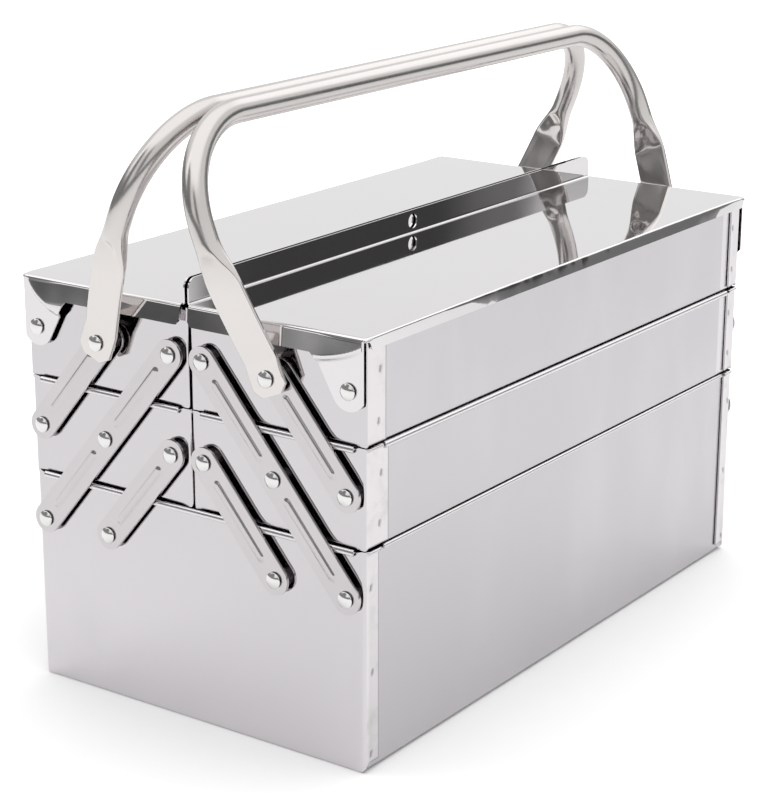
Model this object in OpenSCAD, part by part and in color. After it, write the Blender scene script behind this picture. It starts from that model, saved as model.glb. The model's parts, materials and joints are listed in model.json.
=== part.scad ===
// Cantilever tool box: a deep base and four trays on linked arms, under two lids and two carrying handles.
// X runs along the case, Y across it and Z up. The origin is on the floor under the middle of the case.
// The front end is at -X. The right side is at -Y and the left side at +Y.

/* [Case] */
// Length of the case over its end panels
case_l = 360; // [260:5:560]
// Width of the case over its long sides
case_w = 200; // [180:2:280]
// Height of the base
base_h = 110; // [70:1:180]
// Height of each of the four upper trays
tray_h = 48.7; // [42:0.1:80]

/* [Sheet metal] */
// Thickness of the tray sheet
sheet = 0.8; // [0.6:0.1:1.2]
// Outer radius of the bend between a floor and its sides
corner_r = 3; // [3:0.5:8]
// Outer radius of a sharp fold
fold_r = 1.6; // [1.4:0.1:2.5]
// Width of the flanges that wrap an end panel round the long sides
flange_w = 11; // [6:0.5:15]
// Height of the tabs that turn up from a floor behind the end panels
tab_h = 9; // [6:0.5:14]
// Diameter of the rolled top edges
hem_d = 2.6; // [2:0.1:3]
// Distance that a rolled side edge stops short of the end flange
hem_stop = 2.5; // [1:0.5:5]
// Distance that a rolled end edge stops short of the long side
end_hem_stop = 5.5; // [1:0.5:8]

/* [Gaps] */
// Gap between a tray and the rolled edge below it
seat_gap = 0.3; // [0.2:0.1:1]
// Gap between the right and left middle trays
mid_gap = 1; // [0.6:0.1:4]
// Gap between the right and left top trays
top_gap = 3; // [1:0.1:6]
// Side play at each face of a turning piece on its rivet
side_play = 0.15; // [0.1:0.05:0.3]
// Radial play of a turning piece on its rivet
pivot_play = 0.15; // [0.1:0.05:0.3]

/* [Linkage] */
// Distance from the long side to the outer arm pivots
pivot_edge = 8; // [8:0.5:20]
// Distance from the middle of the case to the inner arm pivots
pivot_in = 10; // [10:0.5:20]
// Drop of each arm pivot below its tray's top edge
pivot_drop = 23.5; // [18:0.5:28]
// Width of the arms
arm_w = 15; // [14:0.5:18]
// Thickness of the arms
arm_t = 1.5; // [1.5:0.1:2.4]
// Distance that the arms stand off the end panels
arm_off = 2.2; // [2.1:0.1:5]
// Width of the pressed ribs
rib_w = 5; // [4:0.1:7]
// Height of the pressed ribs
rib_h = 0.9; // [0.5:0.1:1.2]
// Distance from a rivet's centre to the end of a rib
rib_end = 10; // [8:0.5:14]

/* [Rivets] */
// Diameter of the rivet shanks
shank_d = 5; // [4:0.1:6]
// Diameter of the domed heads
head_d = 8; // [7:0.1:10]
// Height of the domed heads
head_h = 2.1; // [1.5:0.1:3]
// Diameter of the formed tails
tail_d = 8; // [7:0.1:10]
// Height of the formed tails
tail_h = 1.4; // [1:0.1:2]
// Outer diameter of the spacers
spacer_d = 10; // [9:0.1:12]
// Radial play of spacers and panels on a rivet
rivet_play = 0.05; // [0.05:0.01:0.1]

/* [Lids] */
// Thickness of the lid sheet
lid_sheet = 0.8; // [0.6:0.1:1.2]
// Distance that the lids overhang the case
lid_over = 3; // [2.9:0.1:5]
// Clearance between a turning lid and the rolled edge below it
lid_clear = 0.3; // [0.2:0.1:1]
// Height of the upright edges along the middle
upstand_h = 12; // [11:0.5:20]
// Gap between the two upright edges
upstand_gap = 1.7; // [1:0.1:3]
// Radius of the top corners of the upright edges
upstand_r = 5; // [2:0.5:8]
// Diameter of the padlock hole
lock_d = 8; // [6:0.5:9]
// Drop of the padlock hole's centre below the top of the upright edges
lock_drop = 6; // [5.5:0.5:8]
// Height of the lid's flange along the long side
side_flange_h = 5.7; // [4:0.1:10]
// Height of the lid's flared flange across the ends
end_flange_h = 10; // [8:0.5:12]
// Angle at which the end flange flares outwards
flare = 11; // [5:1:14]
// Distance from the long side to the lid pivots
lid_pivot_edge = 6.7; // [6:0.1:12]
// Drop of the lid pivots below the top edge of the top trays
lid_pivot_drop = 23; // [20:0.5:26]
// Radius of the ears round the lid pivots
ear_r = 9.4; // [8:0.1:9.6]
// Width of the ears at their top
ear_w = 27; // [22:0.5:32]
// Drop below the end flange at which an ear reaches its full width
ear_drop = 3; // [2:0.5:5]
// Fillet between an ear and the end flange
ear_fillet = 5; // [3:0.5:8]
// Radius of the end flange's inner corner
flange_r = 2.5; // [1:0.5:4]
// Radius of the curved crease between the flared flange and an ear
crease_r = 27.5; // [24:0.5:32]
// Distance of the crease's centre from the ear's inner edge
crease_in = 4; // [2:0.5:6]
// Height of the crease's centre above the lid
crease_up = 11.5; // [10:0.5:14]
// Slope of the crease as a rise in radius over its depth
crease_slope = 0.8; // [0.4:0.1:1.2]
// Plan radius of the lid's outer corners
lid_corner_r = 2.5; // [2:0.1:4]
// Depth of the lid's rolled corners
lid_corner_h = 2.4; // [2:0.1:4]

/* [Handles] */
// Distance from the handle pivots to the middle of the grip
handle_h = 120; // [112:1:150]
// Diameter of the handle tube
tube_d = 12; // [10:0.5:14]
// Gap between the two grips as they lean together
grip_gap = 0.6; // [0.4:0.1:2]
// Distance of the tube's shoulders outside the end panels
shoulder_off = 17.5; // [14:0.5:22]
// Radius of the upper bends along the tube's middle
handle_r = 48; // [30:1:52]
// Width of the flattened ends
blade_w = 19.5; // [16:0.5:20]
// Thickness of the flattened ends
blade_t = 2.4; // [2:0.1:3]
// Distance from the handle pivot to the end of the blade
blade_tip = 8; // [7:0.5:10]
// Clipped corners of the blade
blade_clip = 4; // [1:0.5:4]
// Height above the pivot at which the blade starts to lean outwards
blade_flat = 8; // [7.5:0.5:10]
// Height above the pivot at which the blade starts to open into the tube
open_start = 48; // [40:1:54]
// Length of the stretch in which the blade opens into the tube
open_l = 18; // [12:1:20]
// Bow of the leaning blade: 1 is straight, and more leaves the pivot faster
lean_bow = 1.4; // [1:0.1:2]

/* [Hidden] */
$fn = 64;

sheet_colour = [0.84, 0.84, 0.85];
end_colour = [0.78, 0.78, 0.80];
lid_colour = [0.88, 0.88, 0.89];
arm_colour = [0.90, 0.89, 0.86];
handle_colour = [0.90, 0.89, 0.84];
rivet_colour = [0.70, 0.70, 0.72];
spacer_colour = [0.60, 0.60, 0.62];

// Cutters run past what they cut by this much
over = 1;
// A flared flange starts this far inside the fold above it
tuck = 0.03;
// Corners of each ring of the opening blade, and the height from ring to ring
loft_sides = 32;
loft_step = 3;

// Levels of the stack
tray_pitch = tray_h + seat_gap;
mid_z = base_h + seat_gap;
top_z = mid_z + tray_pitch;
case_h = top_z + tray_h;

// Trays, measured over the shells inside their end flanges
mid_w = (case_w - mid_gap) / 2 - sheet;
top_w = (case_w - top_gap) / 2 - sheet;
mid_y = (case_w - mid_w) / 2;
top_y = (case_w - top_w) / 2;

// Arm pivots from the middle of the case outwards, and their heights on base, middle tray and top tray
pivot_out = case_w / 2 - pivot_edge;
pivot_mid = (pivot_in + pivot_out) / 2;
arm_reach = pivot_out - pivot_mid;
base_pivot_z = base_h - pivot_drop;
mid_pivot_z = base_pivot_z + tray_pitch;
top_pivot_z = mid_pivot_z + tray_pitch;
arm_step = norm([arm_reach, tray_pitch]);
arm_lean = atan2(arm_reach, tray_pitch);
lid_pivot_y = case_w / 2 - lid_pivot_edge;
lid_pivot_z = case_h - lid_pivot_drop;

// A rib is a shallow segment of this radius
rib_r = (pow(rib_w / 2, 2) + pow(rib_h, 2)) / (2 * rib_h);
// A head is a shallow segment of this radius
head_r = (pow(head_d / 2, 2) + pow(head_h, 2)) / (2 * head_h);

// Distances out from an end panel along a rivet
arm_head_at = arm_off + arm_t + side_play;
blade_at = arm_head_at + arm_t + side_play;
blade_head_at = blade_at + blade_t + side_play;
ear_at = lid_over - lid_sheet;
ear_head_at = lid_over + side_play;

// Lids: the sheet clears the rolled edge as it turns about the lid pivot
hem_y = case_w / 2 - sheet + hem_d / 2;
hem_z = case_h - hem_d / 2;
lid_under = lid_pivot_z + norm([hem_y - lid_pivot_y, hem_z - lid_pivot_z]) + hem_d / 2 + lid_clear;
lid_z = lid_under + lid_sheet;
lid_x = case_l / 2 + lid_over;
lid_y = case_w / 2 + lid_over;
upstand_top = lid_z + upstand_h;
lock_z = upstand_top - lock_drop;
ear_y = lid_pivot_y + ear_r - ear_w;
crease_y = ear_y - crease_in;
crease_z = lid_z + crease_up;

// Handles lean together over the middle
handle_tilt = asin((pivot_mid - (tube_d + grip_gap) / 2) / handle_h);
shoulder_x = case_l / 2 + shoulder_off;
blade_x = case_l / 2 + blade_at + blade_t / 2;
bend_x = shoulder_x - handle_r;
bend_z = handle_h - handle_r;
open_end = open_start + open_l;

front = 0;
back = 1;
left = 0;
right = 1;

// ---- Placing ----

// Children are drawn for the front end of the left side and mirrored to the others
module place(end, side) mirror([end, 0, 0]) mirror([0, side, 0]) children();

module on_side(side) mirror([0, side, 0]) children();

module both_ends() for (end = [front, back]) mirror([end, 0, 0]) children();

// A profile in Y and Z, drawn out along X
module along_x(len) rotate([90, 0, 90]) linear_extrude(len, center = true) children();

// A profile in X and Z, drawn out along Y
module along_y(len) rotate([90, 0, 0]) linear_extrude(len, center = true) children();

// Children point outwards along +Z from the front end panel's outer face at a pivot
module at_pivot(y, z) translate([-case_l / 2, y, z]) rotate([0, -90, 0]) children();

// ---- Trays ----

// Upright rectangle on the X axis with rounded lower corners
module pan_profile(w, h, r) {
    translate([-w / 2, r]) square([w, h - r]);
    translate([r - w / 2, 0]) square([w - 2 * r, h]);
    for (s = [-1, 1]) translate([s * (w / 2 - r), r]) circle(r);
}

// Sheet bent to that profile, open at the top
module channel_profile(w, h, r, t) difference() {
    pan_profile(w, h, r);
    translate([0, t]) pan_profile(w - 2 * t, h, r - t);
}

// Floor and two long sides in one sheet, with end tabs and rolled top edges.
// The edge at +Y rolls outwards, and the one at -Y rolls towards inner: -1 for outwards, 1 for into the tray.
module tray_shell(w, h, inner) {
    along_x(case_l - 2 * fold_r) channel_profile(w, h - hem_d / 2, corner_r, sheet);
    along_y(w - 2 * corner_r) channel_profile(case_l - 2 * sheet, tab_h, fold_r, sheet);
    rolled_edge(w / 2 - sheet + hem_d / 2, h);
    rolled_edge(inner > 0 ? (hem_d - w) / 2 : sheet - (w + hem_d) / 2, h);
}

module rolled_edge(y, h) translate([0, y, h - hem_d / 2]) rotate([0, 90, 0])
    cylinder(d = hem_d, h = case_l - 2 * (flange_w + hem_stop), center = true);

// End panel for the front: a plate with side flanges outside the shell, a rolled top edge and rivet holes
module end_panel(w, h, holes) difference() {
    union() {
        intersection() {
            translate([-case_l / 2, 0, 0]) rotate([90, 0, 90])
                linear_extrude(flange_w) pan_profile(w + 2 * sheet, h - hem_d / 2, corner_r + sheet);
            linear_extrude(h) translate([-case_l / 2, 0]) rotate(-90)
                channel_profile(w + 2 * sheet, flange_w, fold_r, sheet);
        }
        translate([sheet - hem_d / 2 - case_l / 2, 0, h - hem_d / 2])
            rotate([90, 0, 0]) cylinder(d = hem_d, h = w - 2 * end_hem_stop, center = true);
    }
    for (p = holes) translate([over + sheet - case_l / 2, p[0], p[1]]) rotate([0, -90, 0])
        cylinder(d = shank_d + 2 * rivet_play, h = sheet + 2 * over);
}

// ---- Rivets and spacers ----

// Rivet through an end panel: the tail is inside, and the head sits at head_at outside
module rivet(head_at) {
    translate([0, 0, -sheet - tail_h]) cylinder(d = tail_d, h = tail_h);
    translate([0, 0, -sheet - tail_h / 2]) cylinder(d = shank_d, h = sheet + tail_h / 2 + head_at + head_h / 4);
    translate([0, 0, head_at]) intersection() {
        translate([0, 0, head_h - head_r]) sphere(head_r);
        cylinder(d = head_d, h = head_h);
    }
}

// Ring on a rivet from one distance out to another
module spacer(from, to) translate([0, 0, from]) difference() {
    cylinder(d = spacer_d, h = to - from);
    translate([0, 0, -over]) cylinder(d = shank_d + 2 * rivet_play, h = to - from + 2 * over);
}

// ---- Arms ----

// Round-ended bar of rib section about the Z axis
module rib_bar(len) rotate_extrude() intersection() {
    translate([0, -len / 2]) square([rib_r, len]);
    union() {
        for (s = [-1, 1]) translate([0, s * (len / 2 - rib_r)]) circle(rib_r);
        translate([0, rib_r - len / 2]) square([rib_r, len - 2 * rib_r]);
    }
}

// Arm over one or more steps of the linkage, for the front end of the left side.
// The lower pivot is on the X axis and the face towards the case is at X = 0.
module arm(steps) {
    rib_len = arm_step - 2 * rib_end + 2 * (rib_r - rib_w / 2);
    rotate([arm_lean, 0, 0]) difference() {
        union() {
            translate([-arm_t, 0, 0]) rotate([90, 0, 90]) linear_extrude(arm_t) {
                translate([-arm_w / 2, 0]) square([arm_w, steps * arm_step]);
                for (z = [0, steps * arm_step]) translate([0, z]) circle(d = arm_w);
            }
            intersection() {
                for (i = [1 : steps]) translate([rib_r - arm_t - rib_h, 0, (i - 0.5) * arm_step]) rib_bar(rib_len);
                translate([-arm_t - rib_h, -arm_w / 2, 0]) cube([arm_t + rib_h / 2, arm_w, steps * arm_step]);
            }
        }
        for (i = [1 : steps]) translate([rib_r - rib_h, 0, (i - 0.5) * arm_step]) rib_bar(rib_len);
        for (i = [0 : steps]) translate([over, 0, i * arm_step]) rotate([0, -90, 0])
            cylinder(d = shank_d + 2 * pivot_play, h = arm_t + 2 * over);
    }
}

module arm_at(end, side, y, z, steps) color(arm_colour)
    place(end, side) translate([-case_l / 2 - arm_off, y, z]) arm(steps);

// ---- Lids ----

// Quarter of a folded sheet: it leaves the origin level and turns down at r into a straight leg
module fold_profile(r, t, leg = 0) {
    intersection() {
        difference() {
            circle(r);
            circle(r - t);
        }
        square(r);
    }
    if (leg > 0) translate([r - t, -leg]) square([t, leg]);
}

// Outline of a lid's end skirt in Y and Z: flange, fillet and ear
module skirt_outline() {
    flange_z = lid_z - end_flange_h;
    inner = [ear_y, flange_z - ear_drop];
    pivot = [lid_pivot_y, lid_pivot_z];
    away = inner - pivot;
    touch = atan2(away[1], away[0]) + acos(ear_r / norm(away));
    tangent = pivot + ear_r * [cos(touch), sin(touch)];
    slope = (inner[0] - tangent[0]) / (inner[1] - tangent[1]);
    corner = [inner[0] + slope * (flange_z - inner[1]), flange_z];
    // Half the turn of the edge at the corner sets how far the fillet reaches
    turn = 90 + atan(slope);
    reach = ear_fillet * tan(turn / 2);
    start = upstand_gap / 2 + lid_sheet;
    translate([start, flange_z + flange_r]) square([ear_y - start, end_flange_h - flange_r]);
    translate([start + flange_r, flange_z]) square([corner[0] - start - flange_r, end_flange_h]);
    translate([start + flange_r, flange_z + flange_r]) circle(flange_r);
    translate(pivot) circle(ear_r);
    polygon([tangent, pivot, pivot + [ear_r, 0], [lid_pivot_y + ear_r, lid_z], [crease_y, lid_z], corner, inner]);
    difference() {
        polygon([corner - [reach, 0], corner + [over, over], corner + reach * unit(tangent - corner)]);
        translate([corner[0] - reach, flange_z - ear_fillet]) circle(ear_fillet);
    }
}

function unit(v) = v / norm(v);

// Skirt of the front end: flared flange and upright ear, with a curved crease between them
module lid_skirt() {
    depth = end_flange_h;
    intersection() {
        translate([-lid_x - depth / 2, 0, 0]) rotate([90, 0, 90]) linear_extrude(depth) skirt_outline();
        union() {
            // Upright ear
            translate([-lid_x, ear_y, 0]) cube([lid_sheet, lid_y - ear_y, lid_z - fold_r]);
            // Flared flange
            flared_plate() cube([lid_sheet, (crease_y + ear_y) / 2, 2 * end_flange_h]);
            // Flared flange over the ear, closed back to it along the crease
            intersection() {
                flared_plate() cube([depth / 2, lid_y, 2 * end_flange_h]);
                translate([-lid_x - depth / 2, 0, 0]) cube([depth / 2 + lid_sheet / 2, lid_y, lid_z]);
                translate([lid_sheet - lid_x, crease_y, crease_z]) rotate([0, -90, 0])
                    cylinder(r1 = crease_r + crease_slope * lid_sheet, r2 = crease_r - crease_slope * depth / 2,
                        h = depth / 2 + lid_sheet);
                translate([-lid_x - depth, crease_y, 0]) cube([2 * depth, lid_y, lid_z]);
            }
        }
    }
}

// Children start at the outer face of the flared flange and hang down from its fold
module flared_plate() translate([tuck - lid_x, 0, lid_z - fold_r - tuck]) rotate([0, flare, 0])
    translate([0, 0, -2 * end_flange_h]) children();

// Lid of the left side
module lid() difference() {
    top_l = 2 * (lid_x - lid_corner_r);
    start = upstand_gap / 2;
    union() {
        // Top sheet
        translate([-top_l / 2, start + fold_r, lid_under]) cube([top_l, lid_y - fold_r - start - fold_r, lid_sheet]);
        translate([fold_r - lid_x, start + fold_r, lid_under])
            cube([2 * (lid_x - fold_r), lid_y - lid_corner_r - start - fold_r, lid_sheet]);
        // Flange along the long side
        translate([0, lid_y - fold_r, lid_z - fold_r]) along_x(top_l) fold_profile(fold_r, lid_sheet);
        translate([-top_l / 2, lid_y - lid_sheet, lid_z - side_flange_h])
            cube([top_l, lid_sheet, side_flange_h - fold_r]);
        // Folds and skirts across the ends
        both_ends() {
            translate([fold_r - lid_x, 0, lid_z - fold_r]) mirror([1, 0, 0]) rotate([90, 0, 0])
                mirror([0, 0, 1]) linear_extrude(lid_y - lid_corner_r)
                    fold_profile(fold_r, lid_sheet, lid_corner_h - fold_r);
            lid_skirt();
            // Rolled outer corner
            translate([lid_corner_r - lid_x, lid_y - lid_corner_r, 0]) rotate(90) rotate_extrude(angle = 90) {
                translate([0, lid_under]) square([lid_corner_r - fold_r, lid_sheet]);
                translate([lid_corner_r - fold_r, lid_z - fold_r]) fold_profile(fold_r, lid_sheet);
                translate([lid_corner_r - lid_sheet, lid_z - lid_corner_h])
                    square([lid_sheet, lid_corner_h - fold_r]);
            }
        }
        // Upright edge along the middle, on its own fold
        translate([0, start + fold_r, lid_under + fold_r]) along_x(2 * (lid_x - fold_r))
            rotate(180) fold_profile(fold_r, lid_sheet);
        translate([0, start + lid_sheet / 2, lid_under + fold_r]) along_y(lid_sheet)
            mirror([0, 1]) translate([0, lid_under + fold_r - upstand_top])
                pan_profile(2 * (lid_x - fold_r), upstand_top - lid_under - fold_r, upstand_r);
    }
    // The skirt stops short of the upright edge
    for (s = [-1, 1]) translate([s * lid_x, 0, 0])
        cube([2 * end_flange_h, 2 * start, 2 * lid_under], center = true);
    translate([0, 0, lock_z]) rotate([-90, 0, 0]) cylinder(d = lock_d, h = start + lid_sheet + over);
    both_ends() translate([over - case_l / 2, lid_pivot_y, lid_pivot_z]) rotate([0, -90, 0])
        cylinder(d = shank_d + 2 * pivot_play, h = over + lid_over + over);
}

// ---- Handles ----

// How far the blade has moved out to the shoulder at height z, from 0 to 1
function lean_share(z) = 1 - pow(1 - clamp01((z - blade_flat) / (open_end - blade_flat)), lean_bow);
// How far the blade has opened into the tube at height z, from 0 to 1
function open_share(z) = let (t = clamp01((z - open_start) / open_l)) t * t * (3 - 2 * t);
function clamp01(t) = min(1, max(0, t));

// Flattened tube at height z: two half rounds joined by flats
function tube_ring(z, inset, n) = let (
    o = open_share(z),
    r = blade_t / 2 + o * (tube_d - blade_t) / 2 - inset,
    flat = (1 - o) * (blade_w - blade_t) / 2,
    x = blade_x + lean_share(z) * (shoulder_x - blade_x)
) [for (i = [0 : n - 1]) let (a = (i + 0.5) * 360 / n)
    [-x + r * cos(a), (sin(a) > 0 ? flat : -flat) + r * sin(a), z]];

// Leaning blade that opens into the tube. Its ends are a little slimmer and run inside their neighbours.
module blade_loft() {
    n = loft_sides;
    step = loft_step;
    inset = 2 * tuck;
    heights = [blade_flat + step / 4, for (z = [blade_flat + step : step : open_end - step / 2]) z, open_end];
    rings = concat(
        [tube_ring(blade_flat - step / 2, inset, n)],
        [for (z = heights) tube_ring(z, 0, n)],
        [tube_ring(open_end + step, 2 * inset, n)]
    );
    last = len(rings) - 1;
    points = [for (ring = rings) for (p = ring) p];
    walls = [for (k = [0 : last - 1]) for (i = [0 : n - 1]) let (j = (i + 1) % n, a = k * n, b = (k + 1) * n)
        each [[a + i, b + i, b + j], [a + i, b + j, a + j]]];
    caps = [[for (i = [0 : n - 1]) i], [for (i = [n - 1 : -1 : 0]) last * n + i]];
    polyhedron(points, concat(walls, caps));
}

// Handle of the left side, upright, with its pivots on the X axis
module upright_handle() {
    translate([0, 0, handle_h]) rotate([0, 90, 0]) cylinder(d = tube_d, h = 2 * bend_x, center = true);
    both_ends() {
        translate([-bend_x, 0, bend_z]) mirror([1, 0, 0]) rotate([90, 0, 0])
            rotate_extrude(angle = 90) translate([handle_r, 0]) circle(d = tube_d);
        translate([-shoulder_x, 0, open_end + over]) cylinder(d = tube_d, h = bend_z - open_end - over);
        blade_loft();
        difference() {
            translate([-blade_x - blade_t / 2, 0, 0]) rotate([90, 0, 90]) linear_extrude(blade_t)
                polygon([[-blade_w / 2, blade_flat], [-blade_w / 2, blade_clip - blade_tip],
                    [blade_clip - blade_w / 2, -blade_tip], [blade_w / 2 - blade_clip, -blade_tip],
                    [blade_w / 2, blade_clip - blade_tip], [blade_w / 2, blade_flat]]);
            translate([over - blade_x + blade_t / 2, 0, 0]) rotate([0, -90, 0])
                cylinder(d = shank_d + 2 * pivot_play, h = blade_t + 2 * over);
        }
    }
}

module handle(side) color(handle_colour) on_side(side)
    translate([0, pivot_mid, top_pivot_z]) rotate([handle_tilt, 0, 0]) upright_handle();

// ---- Pieces of the base ----

base_holes = [for (s = [-1, 1]) for (y = [pivot_mid, pivot_out]) [s * y, base_pivot_z]];

module base_end(end) color(end_colour) mirror([end, 0, 0]) end_panel(case_w, base_h, base_holes);

module base_shell() color(sheet_colour) tray_shell(case_w, base_h, -1);

module base_end_front() base_end(front);

module base_end_back() base_end(back);

module base_rivets() color(rivet_colour) both_ends() for (p = base_holes)
    at_pivot(p[0], p[1]) rivet(arm_head_at);

module base_spacers() color(spacer_colour) both_ends() for (p = base_holes)
    at_pivot(p[0], p[1]) spacer(0, arm_off - side_play);

// ---- Pieces of the middle trays ----

mid_holes = [for (y = [pivot_in, pivot_mid, pivot_out]) [y - mid_y, mid_pivot_z - mid_z]];

module mid_tray(side) color(sheet_colour) on_side(side) translate([0, mid_y, mid_z]) tray_shell(mid_w, tray_h, 1);

module mid_end(end, side) color(end_colour) place(end, side)
    translate([0, mid_y, mid_z]) end_panel(mid_w, tray_h, mid_holes);

module mid_rivets(side) color(rivet_colour) on_side(side) both_ends() for (y = [pivot_in, pivot_mid, pivot_out])
    at_pivot(y, mid_pivot_z) rivet(arm_head_at);

module mid_spacers(side) color(spacer_colour) on_side(side) both_ends() for (y = [pivot_in, pivot_mid, pivot_out])
    at_pivot(y, mid_pivot_z) spacer(0, arm_off - side_play);

module mid_tray_right() mid_tray(right);
module mid_end_front_right() mid_end(front, right);
module mid_end_back_right() mid_end(back, right);
module mid_rivets_right() mid_rivets(right);
module mid_spacers_right() mid_spacers(right);
module mid_tray_left() mid_tray(left);
module mid_end_front_left() mid_end(front, left);
module mid_end_back_left() mid_end(back, left);
module mid_rivets_left() mid_rivets(left);
module mid_spacers_left() mid_spacers(left);

// ---- Pieces of the top trays ----

top_holes = [[pivot_in - top_y, top_pivot_z - top_z], [pivot_mid - top_y, top_pivot_z - top_z],
    [lid_pivot_y - top_y, lid_pivot_z - top_z]];

module top_tray(side) color(sheet_colour) on_side(side) translate([0, top_y, top_z]) tray_shell(top_w, tray_h, 1);

module top_end(end, side) color(end_colour) place(end, side)
    translate([0, top_y, top_z]) end_panel(top_w, tray_h, top_holes);

// The outer of these two rivets also carries the handle
module top_rivets(side) color(rivet_colour) on_side(side) both_ends() {
    at_pivot(pivot_in, top_pivot_z) rivet(arm_head_at);
    at_pivot(pivot_mid, top_pivot_z) rivet(blade_head_at);
}

module top_spacers(side) color(spacer_colour) on_side(side) both_ends() {
    for (y = [pivot_in, pivot_mid]) at_pivot(y, top_pivot_z) spacer(0, arm_off - side_play);
    at_pivot(pivot_mid, top_pivot_z) spacer(arm_head_at, blade_at - side_play);
}

module lid_rivets(side) color(rivet_colour) on_side(side) both_ends()
    at_pivot(lid_pivot_y, lid_pivot_z) rivet(ear_head_at);

module lid_spacers(side) color(spacer_colour) on_side(side) both_ends()
    at_pivot(lid_pivot_y, lid_pivot_z) spacer(0, ear_at - side_play);

module top_tray_right() top_tray(right);
module top_end_front_right() top_end(front, right);
module top_end_back_right() top_end(back, right);
module top_rivets_right() top_rivets(right);
module top_spacers_right() top_spacers(right);
module top_tray_left() top_tray(left);
module top_end_front_left() top_end(front, left);
module top_end_back_left() top_end(back, left);
module top_rivets_left() top_rivets(left);
module top_spacers_left() top_spacers(left);
module lid_rivets_right() lid_rivets(right);
module lid_rivets_left() lid_rivets(left);
module lid_spacers_right() lid_spacers(right);
module lid_spacers_left() lid_spacers(left);

// ---- Arms: long from base to top tray, low from base to middle tray, top from middle to top tray ----

module arm_long_front_right() arm_at(front, right, pivot_out, base_pivot_z, 2);
module arm_long_back_right() arm_at(back, right, pivot_out, base_pivot_z, 2);
module arm_long_front_left() arm_at(front, left, pivot_out, base_pivot_z, 2);
module arm_long_back_left() arm_at(back, left, pivot_out, base_pivot_z, 2);
module arm_low_front_right() arm_at(front, right, pivot_mid, base_pivot_z, 1);
module arm_low_back_right() arm_at(back, right, pivot_mid, base_pivot_z, 1);
module arm_low_front_left() arm_at(front, left, pivot_mid, base_pivot_z, 1);
module arm_low_back_left() arm_at(back, left, pivot_mid, base_pivot_z, 1);
module arm_top_front_right() arm_at(front, right, pivot_out, mid_pivot_z, 1);
module arm_top_back_right() arm_at(back, right, pivot_out, mid_pivot_z, 1);
module arm_top_front_left() arm_at(front, left, pivot_out, mid_pivot_z, 1);
module arm_top_back_left() arm_at(back, left, pivot_out, mid_pivot_z, 1);

// ---- Lids and handles ----

module lid_right() color(lid_colour) on_side(right) lid();
module lid_left() color(lid_colour) lid();
module handle_right() handle(right);
module handle_left() handle(left);

base_shell();
base_end_front();
base_end_back();
base_rivets();
base_spacers();
mid_tray_right();
mid_end_front_right();
mid_end_back_right();
mid_rivets_right();
mid_spacers_right();
mid_tray_left();
mid_end_front_left();
mid_end_back_left();
mid_rivets_left();
mid_spacers_left();
top_tray_right();
top_end_front_right();
top_end_back_right();
top_rivets_right();
top_spacers_right();
top_tray_left();
top_end_front_left();
top_end_back_left();
top_rivets_left();
top_spacers_left();
arm_long_front_right();
arm_long_back_right();
arm_long_front_left();
arm_long_back_left();
arm_low_front_right();
arm_low_back_right();
arm_low_front_left();
arm_low_back_left();
arm_top_front_right();
arm_top_back_right();
arm_top_front_left();
arm_top_back_left();
lid_right();
lid_left();
lid_rivets_right();
lid_rivets_left();
lid_spacers_right();
lid_spacers_left();
handle_right();
handle_left();
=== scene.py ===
import json
import math
from collections import namedtuple

import bmesh
import bpy
from mathutils import Matrix, Vector


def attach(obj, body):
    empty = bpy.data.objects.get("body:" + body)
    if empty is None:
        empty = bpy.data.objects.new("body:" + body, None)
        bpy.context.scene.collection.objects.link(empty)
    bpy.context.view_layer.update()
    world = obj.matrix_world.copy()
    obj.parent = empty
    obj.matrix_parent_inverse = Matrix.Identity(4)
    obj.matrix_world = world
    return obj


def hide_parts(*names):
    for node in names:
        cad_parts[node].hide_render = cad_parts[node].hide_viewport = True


bl_info = {
    "name": "Cantilever Tool Box",
    "version": (1, 0, 0),
    "blender": (4, 5, 0),
    "location": "View3D > Sidebar > Tool Box",
    "description": "Dresses a cantilever tool box in polished and satin stainless steel",
    "category": "Object",
}

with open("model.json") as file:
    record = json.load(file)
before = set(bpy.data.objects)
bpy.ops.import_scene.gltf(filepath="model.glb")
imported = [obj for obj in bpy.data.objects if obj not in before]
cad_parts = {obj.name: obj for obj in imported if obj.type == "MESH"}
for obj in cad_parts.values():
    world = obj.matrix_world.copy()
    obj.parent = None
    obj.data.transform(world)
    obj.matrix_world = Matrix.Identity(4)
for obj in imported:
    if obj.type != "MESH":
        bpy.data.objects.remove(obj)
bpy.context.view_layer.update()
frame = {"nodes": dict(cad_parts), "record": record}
BODY_OF = {node: body for body, nodes in frame["record"]["behaviour"]["bodies"].items() for node in nodes}
SIDES = {"right": -1, "left": 1}
ENDS = {"front": -1, "back": 1}


# ---- Node helpers ----


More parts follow.
